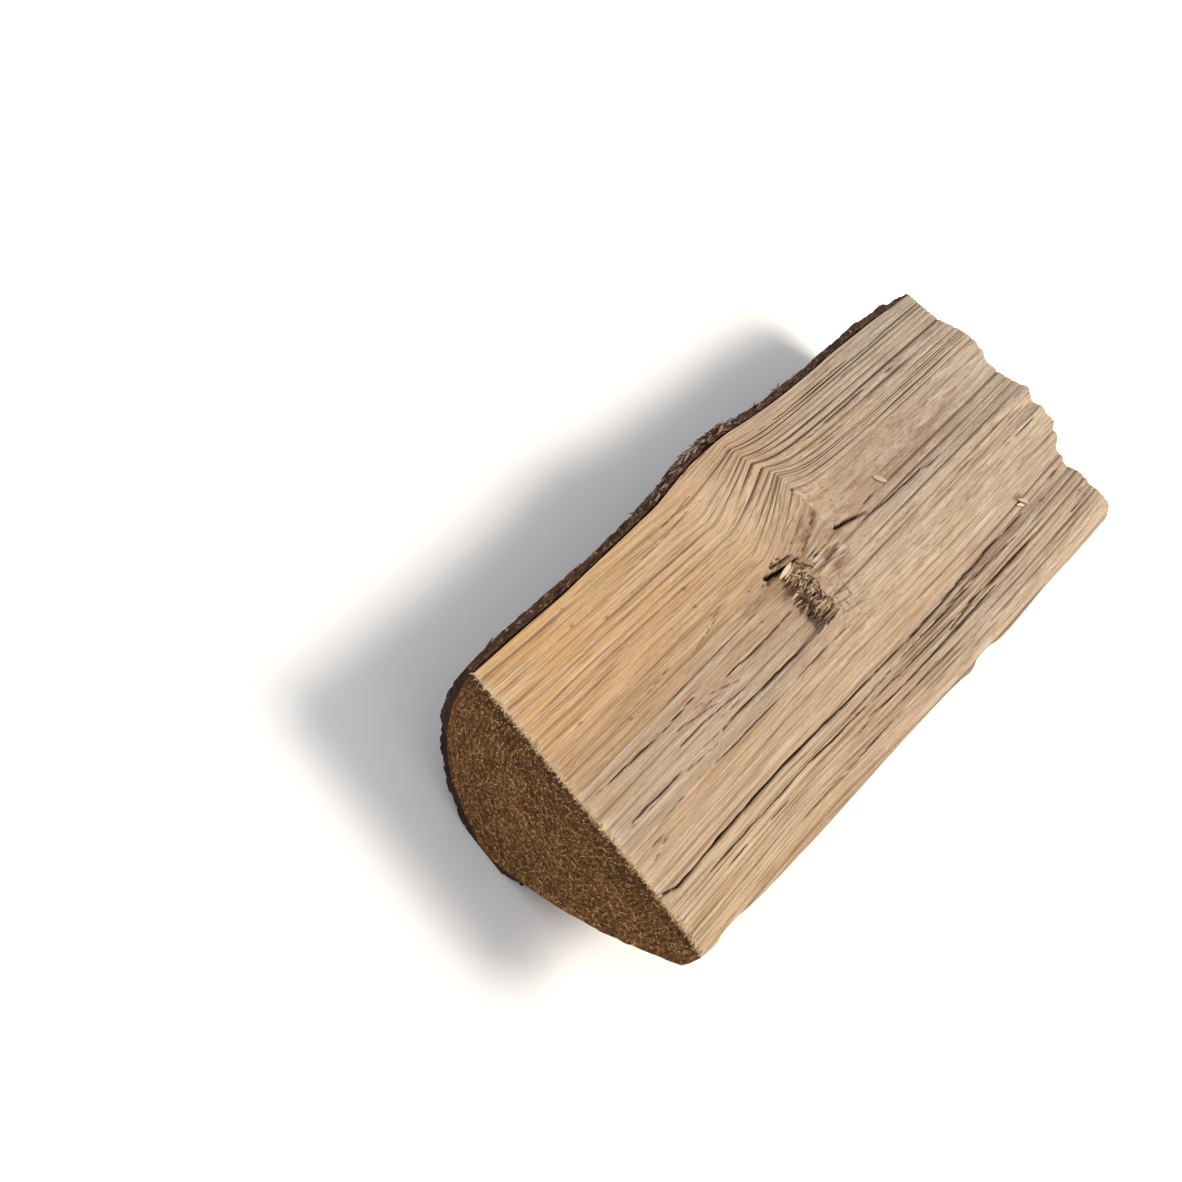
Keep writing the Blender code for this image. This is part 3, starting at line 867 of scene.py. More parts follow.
def cap_faces(first_row, first_ring, count, columns, tip, flip):
    """Quads from an end row through its rings, and the triangles round the tip."""
    rows = [first_row + np.arange(columns)]
    rows += [first_ring + ring * columns + np.arange(columns) for ring in range(count - 1)]
    faces = []
    for outer, inner in zip(rows, rows[1:]):
        quad = np.stack([outer, inner, np.roll(inner, -1), np.roll(outer, -1)], axis=-1)
        faces += (quad[:, ::-1] if flip else quad).tolist()
    last = rows[-1]
    fan = np.stack([last, np.full(columns, tip), np.roll(last, -1)], axis=-1)
    faces += (fan[:, ::-1] if flip else fan).tolist()
    return faces


rows, columns = wood_points.shape[:2]
near_rings, near_tip = end_rings(wood_points[0], NEAR_CAP_RINGS, -1.0, 50)
far_rings, far_tip = end_rings(wood_points[-1], FAR_CAP_RINGS, 1.0, 54)
# The mesh holds the side first, then the near rings, the far rings and the two tips
near_start = rows * columns
far_start = near_start + len(near_rings) * columns
tips_start = far_start + len(far_rings) * columns
print("end rings:", len(near_rings), "and", len(far_rings))

# %% [markdown]
# ## Putting the wood together
# The mesh keeps four fields with every point. `grain` is the place in the wood's own
# measures, so that patterns follow the bent fibres. `wear` says how fresh and how grey the
# surface is, and where dirt and painted shade lie. `knot` says where painted shade darkens cracks,
# holes and torn crumbs, where flecks are dark, and where it is bleached pale or green. `tint` says
# where it is stained brown, lighter (in two places painted light) or pinkish.

# %% Wood mesh
HONEY_EDGE = 37.3           # the sheltered yellow wood ends on this fibre line
HONEY_FADE = ((0, 1.0), (25, 1.0), (56, 0.7), (96, 0.35), (125, 0.0), (250, 0.0))
GREY_LEFT = ((0, 0.0), (85, 0.0), (112, 0.05), (140, 0.5), (180, 0.8), (215, 1.0), (250, 1.0))
GREY_RIGHT = ((0, 0.1), (60, 0.15), (100, 0.3), (140, 0.55), (180, 0.65), (250, 0.9))


def wear_masks(across, along, masks):
    """Fresh, grey, and dirty with painted shade in the grooves and the pocket, each from 0 to 1, for the
    split face.
    """
    line = masks["line"]
    left = smooth_step(HONEY_EDGE + 0.4, HONEY_EDGE - 0.4, line)
    fresh = left * curve(HONEY_FADE, along) * mix(0.35, 1.0, smooth_step(HONEY_EDGE, 22.0, line))
    fresh = np.maximum(fresh, 0.5 * smooth_step(70.5, 73.0, across) * smooth_step(75.0, 20.0, along))
    fresh = np.maximum(fresh, 0.55 * bell(line, 57.9, 0.9) * smooth_step(95.0, 60.0, along))
    grey = mix(curve(GREY_RIGHT, along), curve(GREY_LEFT, along), smooth_step(48.0, 40.0, line))
    grey = grey + 0.34 * (1.0 - left) * smooth_step(57.0, 54.0, line) * smooth_step(112.0, 70.0, along)
    grey = grey * (0.85 + 0.35 * noise(line / 3.0, along / 70.0, 70))
    # Dirt and painted shade: the ring grooves and the pocket below the lip are darkened where shade falls.
    dirt_and_shade = masks["groove"] * (0.75 + 0.35 * smooth_step(95.0, 130.0, along)) + masks["shade"]
    return np.clip(np.stack([fresh, grey, dirt_and_shade], axis=-1), 0.0, 1.0)


def knot_masks(across, along, masks):
    """Painted shade in cracks, holes and torn crumbs with dark flecks, pale fibre and green film, for the
    split face.
    """
    torn = masks["torn"] * smooth_step(0.42, 0.0, masks["torn_tone_and_shade"])
    gaps = 0.6 * masks["fan"] * smooth_step(-0.15, -0.8, masks["fan_strands"])
    # Dark: painted shade in cracks, holes, the crease and between torn crumbs, with dark flecks and the
    # gaps between fan strands.
    dark = np.clip(np.maximum.reduce([masks["dark"], 0.65 * torn, gaps]), 0.0, 1.0)
    pale = 0.9 * masks["fan"] * smooth_step(-0.3, 0.8, masks["fan_strands"])
    pale = pale + 0.8 * masks["torn"] * smooth_step(0.5, 0.9, masks["torn_tone_and_shade"])
    pale = pale + 0.8 * masks["tips"]
    green = bell(across, 4.0, 2.0) * bell(along, 75.0, 3.0)
    green = green + bell(across, 3.6, 3.6) * bell(along, 49.2, 3.0)
    green = green + 0.5 * masks["shade"] + 0.25 * bell(across, 4.0, 5.0) * bell(along, 62.0, 22.0)
    return np.clip(np.stack([dark, pale, green], axis=-1), 0.0, 1.0)


def tint_masks(across, along, masks):
    """Brown stain, pale bands with some painted light, and pink, for the split face."""
    line = masks["line"]
    stain = masks["stain"] + 0.3 * masks["torn"]
    light = 0.55 * bell(line, 63.5, 5.5) * smooth_step(150.0, 60.0, along)
    light = light + 0.85 * bell(across, 8.0, 14.0) * bell(along, 106.0, 22.0)
    # Painted light: the left slope of the far hump faces away from the lamp and is painted lighter.
    light = light + 0.7 * bell(across, 18.0, 4.5) * smooth_step(130.0, 190.0, along)
    rim = along - NEAR_SKEW * across
    light = light + 0.9 * smooth_step(3.2, 0.4, rim + 1.2 * noise(across / 1.1, along / 3.0, 71))
    light = light + 0.5 * smooth_step(84.0, 92.0, across) * smooth_step(120.0, 200.0, along)
    light = light + 0.6 * bell(line, 81.0, 3.6) * smooth_step(90.0, 60.0, along)
    light = light + 0.9 * bell(line, 73.8, 2.6) * smooth_step(100.0, 70.0, along)
    # Painted highlight on the ridges below the crease.
    light = light + 0.5 * bell(across, 18.0, 5.0) * bell(along, 113.0, 9.0)
    light = light + 0.45 * bell(across, 50.0, 5.0) * bell(along, 126.0, 12.0)
    under_crease = smooth_step(85.0, 110.0, along) * smooth_step(150.0, 130.0, along)
    light = light + 0.25 * bell(across, 14.0, 8.0) * under_crease
    light = light + 0.35 * bell(across, 57.0, 12.0) * smooth_step(120.0, 140.0, along)
    pink = 0.8 * bell(line, 57.9, 0.8) * bell(along, 20.0, 13.0)
    by_crease = smooth_step(60.0, 110.0, along) * smooth_step(170.0, 120.0, along)
    pink = pink + 0.3 * by_crease * bell(line, 8.0, 16.0)
    return np.clip(np.stack([stain, light, pink], axis=-1), 0.0, 1.0)


def new_mesh_object(name, points, faces):
    """A smooth-shaded mesh object, with its points in log millimetres."""
    mesh = bpy.data.meshes.new(name)
    mesh.from_pydata(to_model(*np.moveaxis(points, -1, 0)).tolist(), [], faces)
    mesh.shade_smooth()
    mesh.set_sharp_from_angle(angle=math.radians(68.0))
    made = bpy.data.objects.new(name, mesh)
    bpy.context.scene.collection.objects.link(made)
    return made


def keep_field(made, name, values):
    """Stores three numbers with every point of a mesh."""
    field = made.data.attributes.new(name, "FLOAT_VECTOR", "POINT")
    field.data.foreach_set("vector", np.ascontiguousarray(values, np.float32).ravel())


def build_wood():
    """The wood: its side and its two ends."""
    parts = [part.reshape(-1, 3) for part in (wood_points, near_rings, far_rings)]
    points = np.concatenate([*parts, [near_tip, far_tip]])
    faces = grid_quads(rows, columns, True).tolist()
    faces += cap_faces(0, near_start, NEAR_CAP_RINGS, columns, tips_start, False)
    faces += cap_faces((rows - 1) * columns, far_start, FAR_CAP_RINGS, columns, tips_start + 1, True)
    return new_mesh_object("wood", points, faces), points


def wood_fields(made, points):
    """Fills the fields that the finish reads. Away from the split face they are plain."""
    across, along = points[:, 0], points[:, 1]
    face = np.zeros((rows, columns), bool)
    face[:, :FACE_COLUMNS] = True
    on_face = np.zeros(len(points), bool)
    on_face[: rows * columns] = face.ravel()
    grain = points.copy()
    grain[on_face, 0] = face_masks["line"].ravel()
    # On the ends, heights count from the edge of the split face, so that the pale rim follows it.
    for row, first, last in ((0, near_start, far_start), (rows - 1, far_start, tips_start)):
        edge = wood_points[row, :FACE_COLUMNS]
        grain[first:last, 2] -= np.interp(across[first:last], edge[:, 0], edge[:, 2])
    keep_field(made, "grain", grain)
    face_across = across[on_face].reshape(rows, FACE_COLUMNS)
    face_along = along[on_face].reshape(rows, FACE_COLUMNS)
    for name, masks in (("wear", wear_masks), ("knot", knot_masks), ("tint", tint_masks)):
        values = np.zeros_like(points)
        values[on_face] = masks(face_across, face_along, face_masks).reshape(-1, 3)
        keep_field(made, name, values)


wood, wood_mesh_points = build_wood()
wood_fields(wood, wood_mesh_points)
print("wood:", len(wood.data.polygons), "faces")

# %% [markdown]
# ## Bark
# The bark is thin and scaly. It could be a texture, but its torn edge along the split face
# has to show as real thickness. So it is its own closed strip: up over the rim at the split
# face, down round the outside to the torn edge, and back along the wood, where it is hidden.
# Its scales are cells, each a little higher or lower than the next, with furrows between.

# %% Scales
RIM_COLUMNS, SCALE_COLUMNS, TEAR_COLUMNS, BACK_COLUMNS = 14, 190, 6, 24
BARK_ROWS = 250
SCALE_WIDTH, SCALE_LENGTH = 5.5, 10.0


def bark_relief(girth, along):
    """Height of the bark's scales, and a mask of the furrows. girth is measured round the log."""
    warp = 1.6 * noise(girth / 6.0, along / 9.0, 80)
    number, border = cells((girth + warp) / SCALE_WIDTH, (along + 1.7 * warp) / SCALE_LENGTH, 81)
    small, small_border = cells((girth - warp) / 2.1, (along + warp) / 4.4, 85)
    furrow = np.exp(-((border / 0.10) ** 2))
    flake = np.exp(-((small_border / 0.12) ** 2))
    height = 1.3 * number + 0.45 * small - 0.9 * furrow - 0.3 * flake
    height = height + 0.35 * rough_noise(girth / 3.0, along / 5.0, 88)
    return height - 0.8, np.clip(furrow + 0.5 * flake, 0.0, 1.0), number


print("scales about", SCALE_WIDTH, "by", SCALE_LENGTH, "mm")

# %% Bark strip
def tear_angle(along):
    """Where the outer bark ends on the flank: a ragged line."""
    wander = 9.0 * noise(along / 55.0, 0.5, 90) + 4.0 * noise(along / 17.0, 0.5, 91)
    ragged = 1.6 * noise(along / 4.0, 0.5, 92) + 0.9 * noise(along / 1.7, 0.5, 93)
    start = smooth_step(0.0, 30.0, along)
    return np.radians(82.0 + start * wander + ragged)


def bark_rim(wood_edge, outer_across, outer_up, place):
    """The torn top of the bark: a gap beside the wood, which is painted dark as shade, then crumbs and a
    hollow.
    """
    share = np.linspace(0.0, 1.0, RIM_COLUMNS + 1)[None, :-1]
    across = mix(wood_edge + 0.5, outer_across, share)
    climb = smooth_step(0.17, 0.34, share)
    hollow = 1.6 * bell(place, 121.5, 7.5) * bell(share, 0.55, 0.22)
    lump = 1.2 * bell(place, 105.0, 7.0) * bell(share, 0.5, 0.3)
    crumbs = 0.7 * noise(across / 0.8, place / 2.2, 95) + 0.5 * noise(across / 2.0, place / 6.0, 96)
    up = mix(-2.2, outer_up - 0.3, climb) + climb * (0.8 * crumbs + lump - hollow)
    return across, up, np.broadcast_to(share, across.shape)


def bark_outlines():
    """Rows of closed outlines of the bark strip, and the fields that its finish reads."""
    place = np.linspace(0.3, LENGTH - 0.3, BARK_ROWS)[:, None]
    tear = tear_angle(place)
    scale_share = np.linspace(0.0, 1.0, SCALE_COLUMNS)[None, :]
    tear_share = np.linspace(0.0, 1.0, TEAR_COLUMNS + 1)[None, 1:]
    back_share = np.linspace(0.0, 1.0, BACK_COLUMNS + 2)[None, 1:-1]
    # Outside, from the rim at the split face round to the tear
    angle = mix(math.pi, tear, scale_share)
    across, up, out_across, out_up = wood_round(angle, place)
    girth = (math.pi - angle) * GIRTH_RADIUS
    relief, furrow, number = bark_relief(girth, place)
    relief = relief * (0.35 + 0.65 * smooth_step(0.0, 7.0, girth + 12.0 * bell(place, 116.0, 14.0)))
    relief = relief * (0.5 + 0.5 * smooth_step(2.0, 14.0, place))
    left_thickness = curve(WOOD_EDGE, place) - curve(BARK_EDGE, place)
    thickness = mix(left_thickness, BARK_THICKNESS, smooth_step(0.0, 22.0, girth))
    thin_edge = smooth_step(-0.5, 7.0, (angle - tear) * GIRTH_RADIUS)
    full = np.maximum(thickness * mix(0.5, 1.0, thin_edge) + relief, 0.5)
    outer_across, outer_up = across + full * out_across, up + full * out_up
    outer_up = np.maximum(outer_up, -REST_DEPTH)
    rim_across, rim_up, rim_share = bark_rim(
        curve(WOOD_EDGE, place), outer_across[:, :1], outer_up[:, :1], place)
    # Torn edge, from the last scale down to the wood
    last_across, last_up, last_out_across, last_out_up = wood_round(tear, place)
    drop = mix(full[:, -1:], -0.8, tear_share)
    tear_across = last_across + drop * last_out_across
    tear_up = np.maximum(last_up + drop * last_out_up, -REST_DEPTH)
    # Back, sunk a little into the wood
    back_angle = mix(tear, math.pi, back_share)
    back_across, back_up, back_out_across, back_out_up = wood_round(back_angle, place)
    back_across, back_up = back_across - 0.8 * back_out_across, back_up - 0.8 * back_out_up
    all_across = np.concatenate([rim_across, outer_across, tear_across, back_across], axis=1)
    all_up = np.concatenate([rim_up, outer_up, tear_up, back_up], axis=1)
    all_along = between_cuts(all_across, place)
    rim_girth = (rim_share - 1.0) * 3.0
    tear_girth = girth[:, -1:] + 2.5 * tear_share
    back_girth = np.broadcast_to(60.0 * back_share + 150.0, back_across.shape)
    all_girth = np.concatenate([rim_girth, girth, tear_girth, back_girth], axis=1)
    # Painted shade: the gap between the bark rim and the wood is painted dark.
    gap_shade = smooth_step(0.32, 0.18, rim_share)
    # What the finish reads, for rim, scales, torn edge and back: cut wood, furrow (with painted shade in
    # the gap beside the wood), cell number
    parts = ((1.0, 0.0, 0.7, 0.0), (gap_shade, furrow, 0.0, 0.0), (0.5, number, 0.5, 0.0))
    shapes = [part.shape for part in (rim_across, outer_across, tear_across, back_across)]
    wear = [np.concatenate([np.broadcast_to(part, shape) for part, shape in zip(row, shapes)], axis=1)
            for row in parts]
    fields = {
        "grain": np.stack([all_girth, all_along, all_up], axis=-1),
        "wear": np.stack(wear, axis=-1),
    }
    return np.stack([all_across, all_along, all_up], axis=-1), fields


def build_bark():
    """The strip as a mesh, closed at both ends."""
    points, fields = bark_outlines()
    bark_rows, bark_columns = points.shape[:2]
    faces = grid_quads(bark_rows, bark_columns, True)[:, ::-1].tolist()
    faces.append(list(range(bark_columns)))
    last = (bark_rows - 1) * bark_columns
    faces.append(list(range(last + bark_columns - 1, last - 1, -1)))
    made = new_mesh_object("bark", points.reshape(-1, 3), faces)
    for name, values in fields.items():
        keep_field(made, name, values.reshape(-1, 3))
    return made


bark = build_bark()
print("bark:", len(bark.data.polygons), "faces")

# %% [markdown]
# ## Splinters and loose fibres
# Slivers stand free of the surface: broken pieces in the knot, a few pale chips, fuzz where
# the saw pulled fibres off the top of the near end, cut fibres that it laid down on that end,
# and bast fibres on the swollen bark. Each is a thin strip that narrows to both ends, so one
# function makes them.

# %% Slivers
ROW_SPLINTERS, SMALL_SPLINTERS = 24, 70
FUZZ_TRIES, END_FIBRES = 420, 1700
BARK_FIBRES, SWELLING_FIBRES = 150, 100     # all of them, and those on the swelling


def sliver(start, end, width, thickness, bow, steps=6):
    """Points and faces of one thin tapered strip between two points in log millimetres."""
    start, end = np.array(start, float), np.array(end, float)
    way = (end - start) / np.linalg.norm(end - start)
    side = np.cross(way, (0.0, 0.0, 1.0))
    side = side / max(np.linalg.norm(side), 1e-6)
    top = np.cross(side, way)
    points, faces = [], []
    for step in range(steps):
        share = step / (steps - 1)
        narrow = max(math.sin(math.pi * (0.08 + 0.86 * share)) ** 0.7, 0.12)
        middle = start + (end - start) * share + top * bow * math.sin(math.pi * share)
        for right, high in ((-1, -1), (1, -1), (1, 1), (-1, 1)):
            points.append(middle + side * right * width / 2 * narrow + top * high * thickness / 2 * narrow)
    for step in range(steps - 1):
        for corner in range(4):
            low, after = step * 4 + corner, step * 4 + (corner + 1) % 4
            faces.append([low, low + 4, after + 4, after])
    last = (steps - 1) * 4
    faces += [[0, 1, 2, 3], [last + 3, last + 2, last + 1, last]]
    return points, faces


def join_slivers(name, strips, steps=6):
    """One mesh object of many slivers, with a random tone per sliver in its wear field."""
    points, faces, tones = [], [], []
    draw = np.random.default_rng(len(strips))
    for strip in strips:
        more_points, more_faces = sliver(*strip, steps)
        faces += [[corner + len(points) for corner in face] for face in more_faces]
        points += more_points
        tones += [[draw.random(), 0.0, 0.0]] * len(more_points)
    made = new_mesh_object(name, np.array(points), faces)
    keep_field(made, "grain", np.array(points))
    keep_field(made, "wear", np.array(tones))
    return made


def face_up(across, along):
    """Height of the split face at one point, read from the outline nearest to it."""
    place = LENGTH * (along - NEAR_SKEW * across) / (LENGTH + (FAR_SKEW - NEAR_SKEW) * across)
    outline = wood_points[int(np.abs(row_places() - place).argmin()), :FACE_COLUMNS]
    return float(np.interp(across, outline[:, 0], outline[:, 2]))


def real_place(across, along):
    """Undoes as_seen: the place on the raised face that shows at a point of a level one."""
    at, place = across, along
    for _ in range(5):
        left, right = float(curve(WOOD_EDGE, place)), float(curve(RIGHT_EDGE, place))
        rise = float(broad_shape((at - left) / (right - left), at, place))
        seen = as_seen(at, place, rise)
        at, place = at + across - seen[0], place + along - seen[1]
    return at, place


def laid(start, end, width, low, high, bow=0.3, thickness=0.45):
    """A sliver that rises from `low` above the face at its start to `high` at its end."""
    start, end = real_place(*start), real_place(*end)
    first = (*start, face_up(*start) + low)
    last = (*end, max(face_up(*end), face_up(*start) - 1.0) + high)
    return first, last, width, thickness, bow


def knot_slivers():
    """Broken pieces in the knot: six large ones, a row on the right, and many small ones."""
    strips = [
        laid((33.2, 114.0), (32.8, 105.6), 0.9, 0.3, 0.9, 0.3),
        laid((36.2, 114.4), (39.2, 117.4), 0.9, 0.3, 0.5, 0.4),
        laid((35.3, 110.5), (36.0, 103.6), 0.7, 0.3, 1.0, 0.3),
        laid((41.0, 107.6), (41.4, 101.2), 0.8, 0.2, 0.9, 0.3),
        laid((37.8, 108.0), (38.6, 103.2), 0.7, 0.2, 0.6, 0.3),
        laid((45.6, 106.2), (46.6, 102.4), 0.6, 0.2, 0.5, 0.2),
    ]
    draw = np.random.default_rng(8)
    for _ in range(ROW_SPLINTERS):
        across = draw.uniform(47.2, 52.3)
        top = draw.uniform(110.5, 113.4)
        strips.append(laid((across, top), (across + draw.normal(0.0, 0.25), draw.uniform(104.4, 107.0)),
                           draw.uniform(0.3, 0.6), 0.2, draw.uniform(0.2, 0.7), draw.uniform(0.0, 0.3)))
    for _ in range(SMALL_SPLINTERS):
        across = draw.uniform(36.4, 52.0)
        along = draw.uniform(105.0, 114.5)
        reach, lean = draw.uniform(1.2, 3.6), draw.normal(0.0, 0.35)
        end = (across - reach * math.sin(lean), along - reach * math.cos(lean))
        strips.append(laid((across, along), end, draw.uniform(0.25, 0.6), 0.15, draw.uniform(0.2, 1.0),
                           draw.uniform(0.0, 0.4), 0.3))
    return join_slivers("knot_splinters", strips)


def chip_slivers():
    """Pale chips: one beside the ledge, one over the hole, and two on the right at the far end."""
    strips = [
        laid((33.0, 166.0), (36.8, 169.5), 2.0, 0.3, 0.8, 0.15, 0.25),
        laid((34.2, 112.8), (34.9, 101.3), 1.5, 0.5, 1.7, 0.4, 0.5),
        laid((71.0, 217.0), (73.9, 218.9), 1.5, 0.4, 0.8),
        laid((71.8, 214.8), (73.6, 217.2), 1.1, 0.3, 0.6),
    ]
    return join_slivers("pale_chips", strips, 4)


def saw_fuzz():
    """Fibres that the saw pulled over the top edge of the near end."""
    draw = np.random.default_rng(21)
    strips = []
    for _ in range(FUZZ_TRIES):
        across = draw.uniform(1.2, 83.4)
        clump = 0.55 + 0.45 * float(noise(across / 5.0, 0.5, 97))
        if draw.random() > clump + 0.25:
            continue
        high = face_up(across, 1.0)
        start = (across, NEAR_SKEW * across + draw.uniform(0.4, 1.6), high + 0.02)
        fall = draw.uniform(0.1, 1.1) ** 1.4
        end = (across + draw.normal(0.0, 0.8), NEAR_SKEW * across - draw.uniform(0.1, 0.8), high - fall)
        strips.append((start, end, draw.uniform(0.18, 0.45), 0.15, draw.uniform(0.0, 0.25)))
    return join_slivers("saw_fuzz", strips, 5)


def end_fibres():
    """Cut fibres that the saw laid down on the near end."""
    draw = np.random.default_rng(27)
    strips = []
    middle = NEAR_WIDTH / 2
    while len(strips) < END_FIBRES:
        across, up = draw.uniform(-1.0, 83.0), draw.uniform(-41.0, -0.8)
        angle = math.atan2(-up, across - middle)
        edge_across, edge_up, _, _ = wood_round(np.array(angle), np.array(0.0))
        room = math.hypot(float(edge_across) - middle, float(edge_up))
        if math.hypot(across - middle, up) > 0.96 * room:
            continue
        reach = draw.uniform(0.25, 0.75) if draw.random() < 0.93 else draw.uniform(1.0, 2.8)
        turn = draw.normal(math.atan2(across - HEART[0], -(up - HEART[1])), 0.9)
        start = (across, NEAR_SKEW * across - draw.uniform(0.15, 0.4), up)
        end_across, end_up = across + reach * math.cos(turn), up + reach * math.sin(turn)
        end = (end_across, NEAR_SKEW * across - draw.uniform(0.2, 0.6), end_up)
        strips.append((start, end, 0.12, draw.uniform(0.12, 0.24), 0.05))
    return join_slivers("end_fibres", strips, 4)


def bark_fibres():
    """Bast fibres that stick out of the rim, most of them on the swelling."""
    draw = np.random.default_rng(33)
    strips = []
    for number in range(BARK_FIBRES):
        on_swelling = number < SWELLING_FIBRES
        along = draw.normal(116.0, 14.0) if on_swelling else draw.uniform(4.0, 236.0)
        across = float(curve(BARK_EDGE, along)) + draw.uniform(-0.3, 2.0)
        reach = draw.uniform(1.5, 5.0)
        start = (across, along, draw.uniform(-1.8, -0.2))
        end = (across + draw.normal(-0.3, 0.6), along + draw.choice((-1, 1)) * reach,
               start[2] + draw.uniform(-0.6, 0.9))
        strips.append((start, end, draw.uniform(0.25, 0.6), 0.2, draw.uniform(0.0, 0.6)))
    strips.append(((-7.9, 130.2, -0.6), (-6.3, 124.0, 0.2), 0.9, 0.4, 0.3))
    strips.append(((-8.0, 107.4, -0.6), (-7.4, 114.5, 0.1), 0.7, 0.4, 0.3))
    return join_slivers("bark_fibres", strips)


made_slivers = (knot_slivers(), chip_slivers(), saw_fuzz(), end_fibres(), bark_fibres())
slivers = {made.name: made for made in made_slivers}
print("slivers:", {name: len(made.data.polygons) for name, made in slivers.items()})

# %% [markdown]
# ## Finishes
# All the finishes are patterns computed in the wood's own measures. One function adds a
# node, with its settings and its links, and one turns a colour from a paint chart (sRGB hex)
# into the linear numbers in which light adds up. Each finish starts from one colour, gets
# coat after coat over it, and ends with its roughness and a fine relief.

# %% Node helpers
def linear(hex_colour):
    """An sRGB colour such as "#c9a98b" as linear red, green, blue and alpha."""
    parts = [int(hex_colour[start:start + 2], 16) / 255.0 for start in (1, 3, 5)]
    return (*(part / 12.92 if part <= 0.04045 else ((part + 0.055) / 1.055) ** 2.4 for part in parts), 1.0)


def add_node(tree, kind, inputs=None, **settings):
    """Adds a node. Each input is a value to set or an output to link."""
    node = tree.nodes.new(kind)
    for name, value in settings.items():
        setattr(node, name, value)
    for key, value in (inputs or {}).items():
        if isinstance(value, bpy.types.NodeSocket):
            tree.links.new(value, node.inputs[key])
        else:
            node.inputs[key].default_value = value
    return node


def new_finish(name):
    """An empty material, its node tree, and its shader."""
    material = bpy.data.materials.new(name)
    material.use_nodes = True
    material.node_tree.nodes.clear()
    shader = add_node(material.node_tree, "ShaderNodeBsdfPrincipled")
    add_node(material.node_tree, "ShaderNodeOutputMaterial", {"Surface": shader.outputs[0]})
    return material, material.node_tree, shader


def surface(tree, shader, colour, roughness, shine, relief=None, depth=0.0, strength=0.0):
    """Plugs in a colour, sets how matt it is, and adds a relief too fine for the mesh."""
    tree.links.new(colour, shader.inputs["Base Color"])
    shader.inputs["Roughness"].default_value = roughness
    shader.inputs["Specular IOR Level"].default_value = shine
    if relief is not None:
        bump = add_node(tree, "ShaderNodeBump", {"Height": relief, "Distance": depth, "Strength": strength})
        tree.links.new(bump.outputs[0], shader.inputs["Normal"])


def field(tree, name):
    """The three numbers of a field, as separate outputs, and the vector itself."""
    read = add_node(tree, "ShaderNodeAttribute", attribute_name=name)
    split = add_node(tree, "ShaderNodeSeparateXYZ", {0: read.outputs["Vector"]})
    return split.outputs, read.outputs["Vector"]


def ranged(tree, value, low, high):
    """A value spread from 0 at low to 1 at high."""
    return add_node(tree, "ShaderNodeMapRange", {0: value, 1: low, 2: high}).outputs[0]


def numbers(tree, operation, *values):
    """The result of one operation on numbers."""
    return add_node(tree, "ShaderNodeMath", dict(enumerate(values)), operation=operation).outputs[0]


def vectors(tree, operation, *values):
    """The result of one operation on vectors: a vector, or a number for a length."""
    made = add_node(tree, "ShaderNodeVectorMath", dict(enumerate(values)), operation=operation)
    return made.outputs["Value" if operation == "LENGTH" else "Vector"]


def grit(tree, place, size, detail, roughness=0.6):
    """Even noise with grains of about `size` millimetres."""
    inputs = {"Vector": place, "Scale": 1.0 / size, "Detail": detail, "Roughness": roughness}
    return add_node(tree, "ShaderNodeTexNoise", inputs).outputs[0]


def streaks(tree, place, width, length, detail, low, high):
    """Noise drawn out along the grain, from 0 below low to 1 above high. Sizes in mm."""
    scaled = vectors(tree, "MULTIPLY", place, (1.0 / width, 1.0 / length, 1.0 / width))
    pattern = add_node(tree, "ShaderNodeTexNoise", {"Vector": scaled, "Scale": 1.0, "Detail": detail})
    return ranged(tree, pattern.outputs[0], low, high)


def blend(tree, share, first, second):
    """A colour between two colours, each a hex value or an output."""
    sides = [linear(side) if isinstance(side, str) else side for side in (first, second)]
    mixed = add_node(tree, "ShaderNodeMix", {0: share, 6: sides[0], 7: sides[1]}, data_type="RGBA")
    return mixed.outputs[2]


def glaze(tree, colour, *coats):
    """Lays coats over a colour. Each coat is a mask, its greatest strength and its paint."""
    for mask, strength, paint in coats:
        colour = blend(tree, numbers(tree, "MULTIPLY", mask, strength), colour, paint)
    return colour


print("tan in linear numbers:", [round(part, 2) for part in linear("#c9a98b")[:3]])

# %% [markdown]
# ### Weathered softwood, split
# The split face was never planed, so it is matt and fibrous. Sheltered wood near the front is
# still honey coloured. Towards the far end, sun and rain have taken the colour out and left
# grey. Dirt and painted shade darken the grooves, and streaks a fraction of a millimetre wide
# follow the grain.

# %% Split face finish
HONEY, TAN, GREY, BLEACHED = "#c49c6c", "#b59879", "#a99d8e", "#d6c8b4"
# GROOVE_DIRT_AND_SHADE colours dirt and painted shade in grooves; CRACK_SHADE is painted shade in cracks,
# holes and tears.
SUMMER_WOOD, GROOVE_DIRT_AND_SHADE, CRACK_SHADE, GREEN_FILM = "#96724f", "#664c35", "#452f1e", "#8f8a55"
# PALE_WOOD_AND_HIGHLIGHT also paints light on one slope and a highlight on ridges.
STAIN_BROWN, PALE_WOOD_AND_HIGHLIGHT, PINK_WOOD, WEATHER_GREY = "#6f503a", "#cdb596", "#c08a66", "#7d7264"


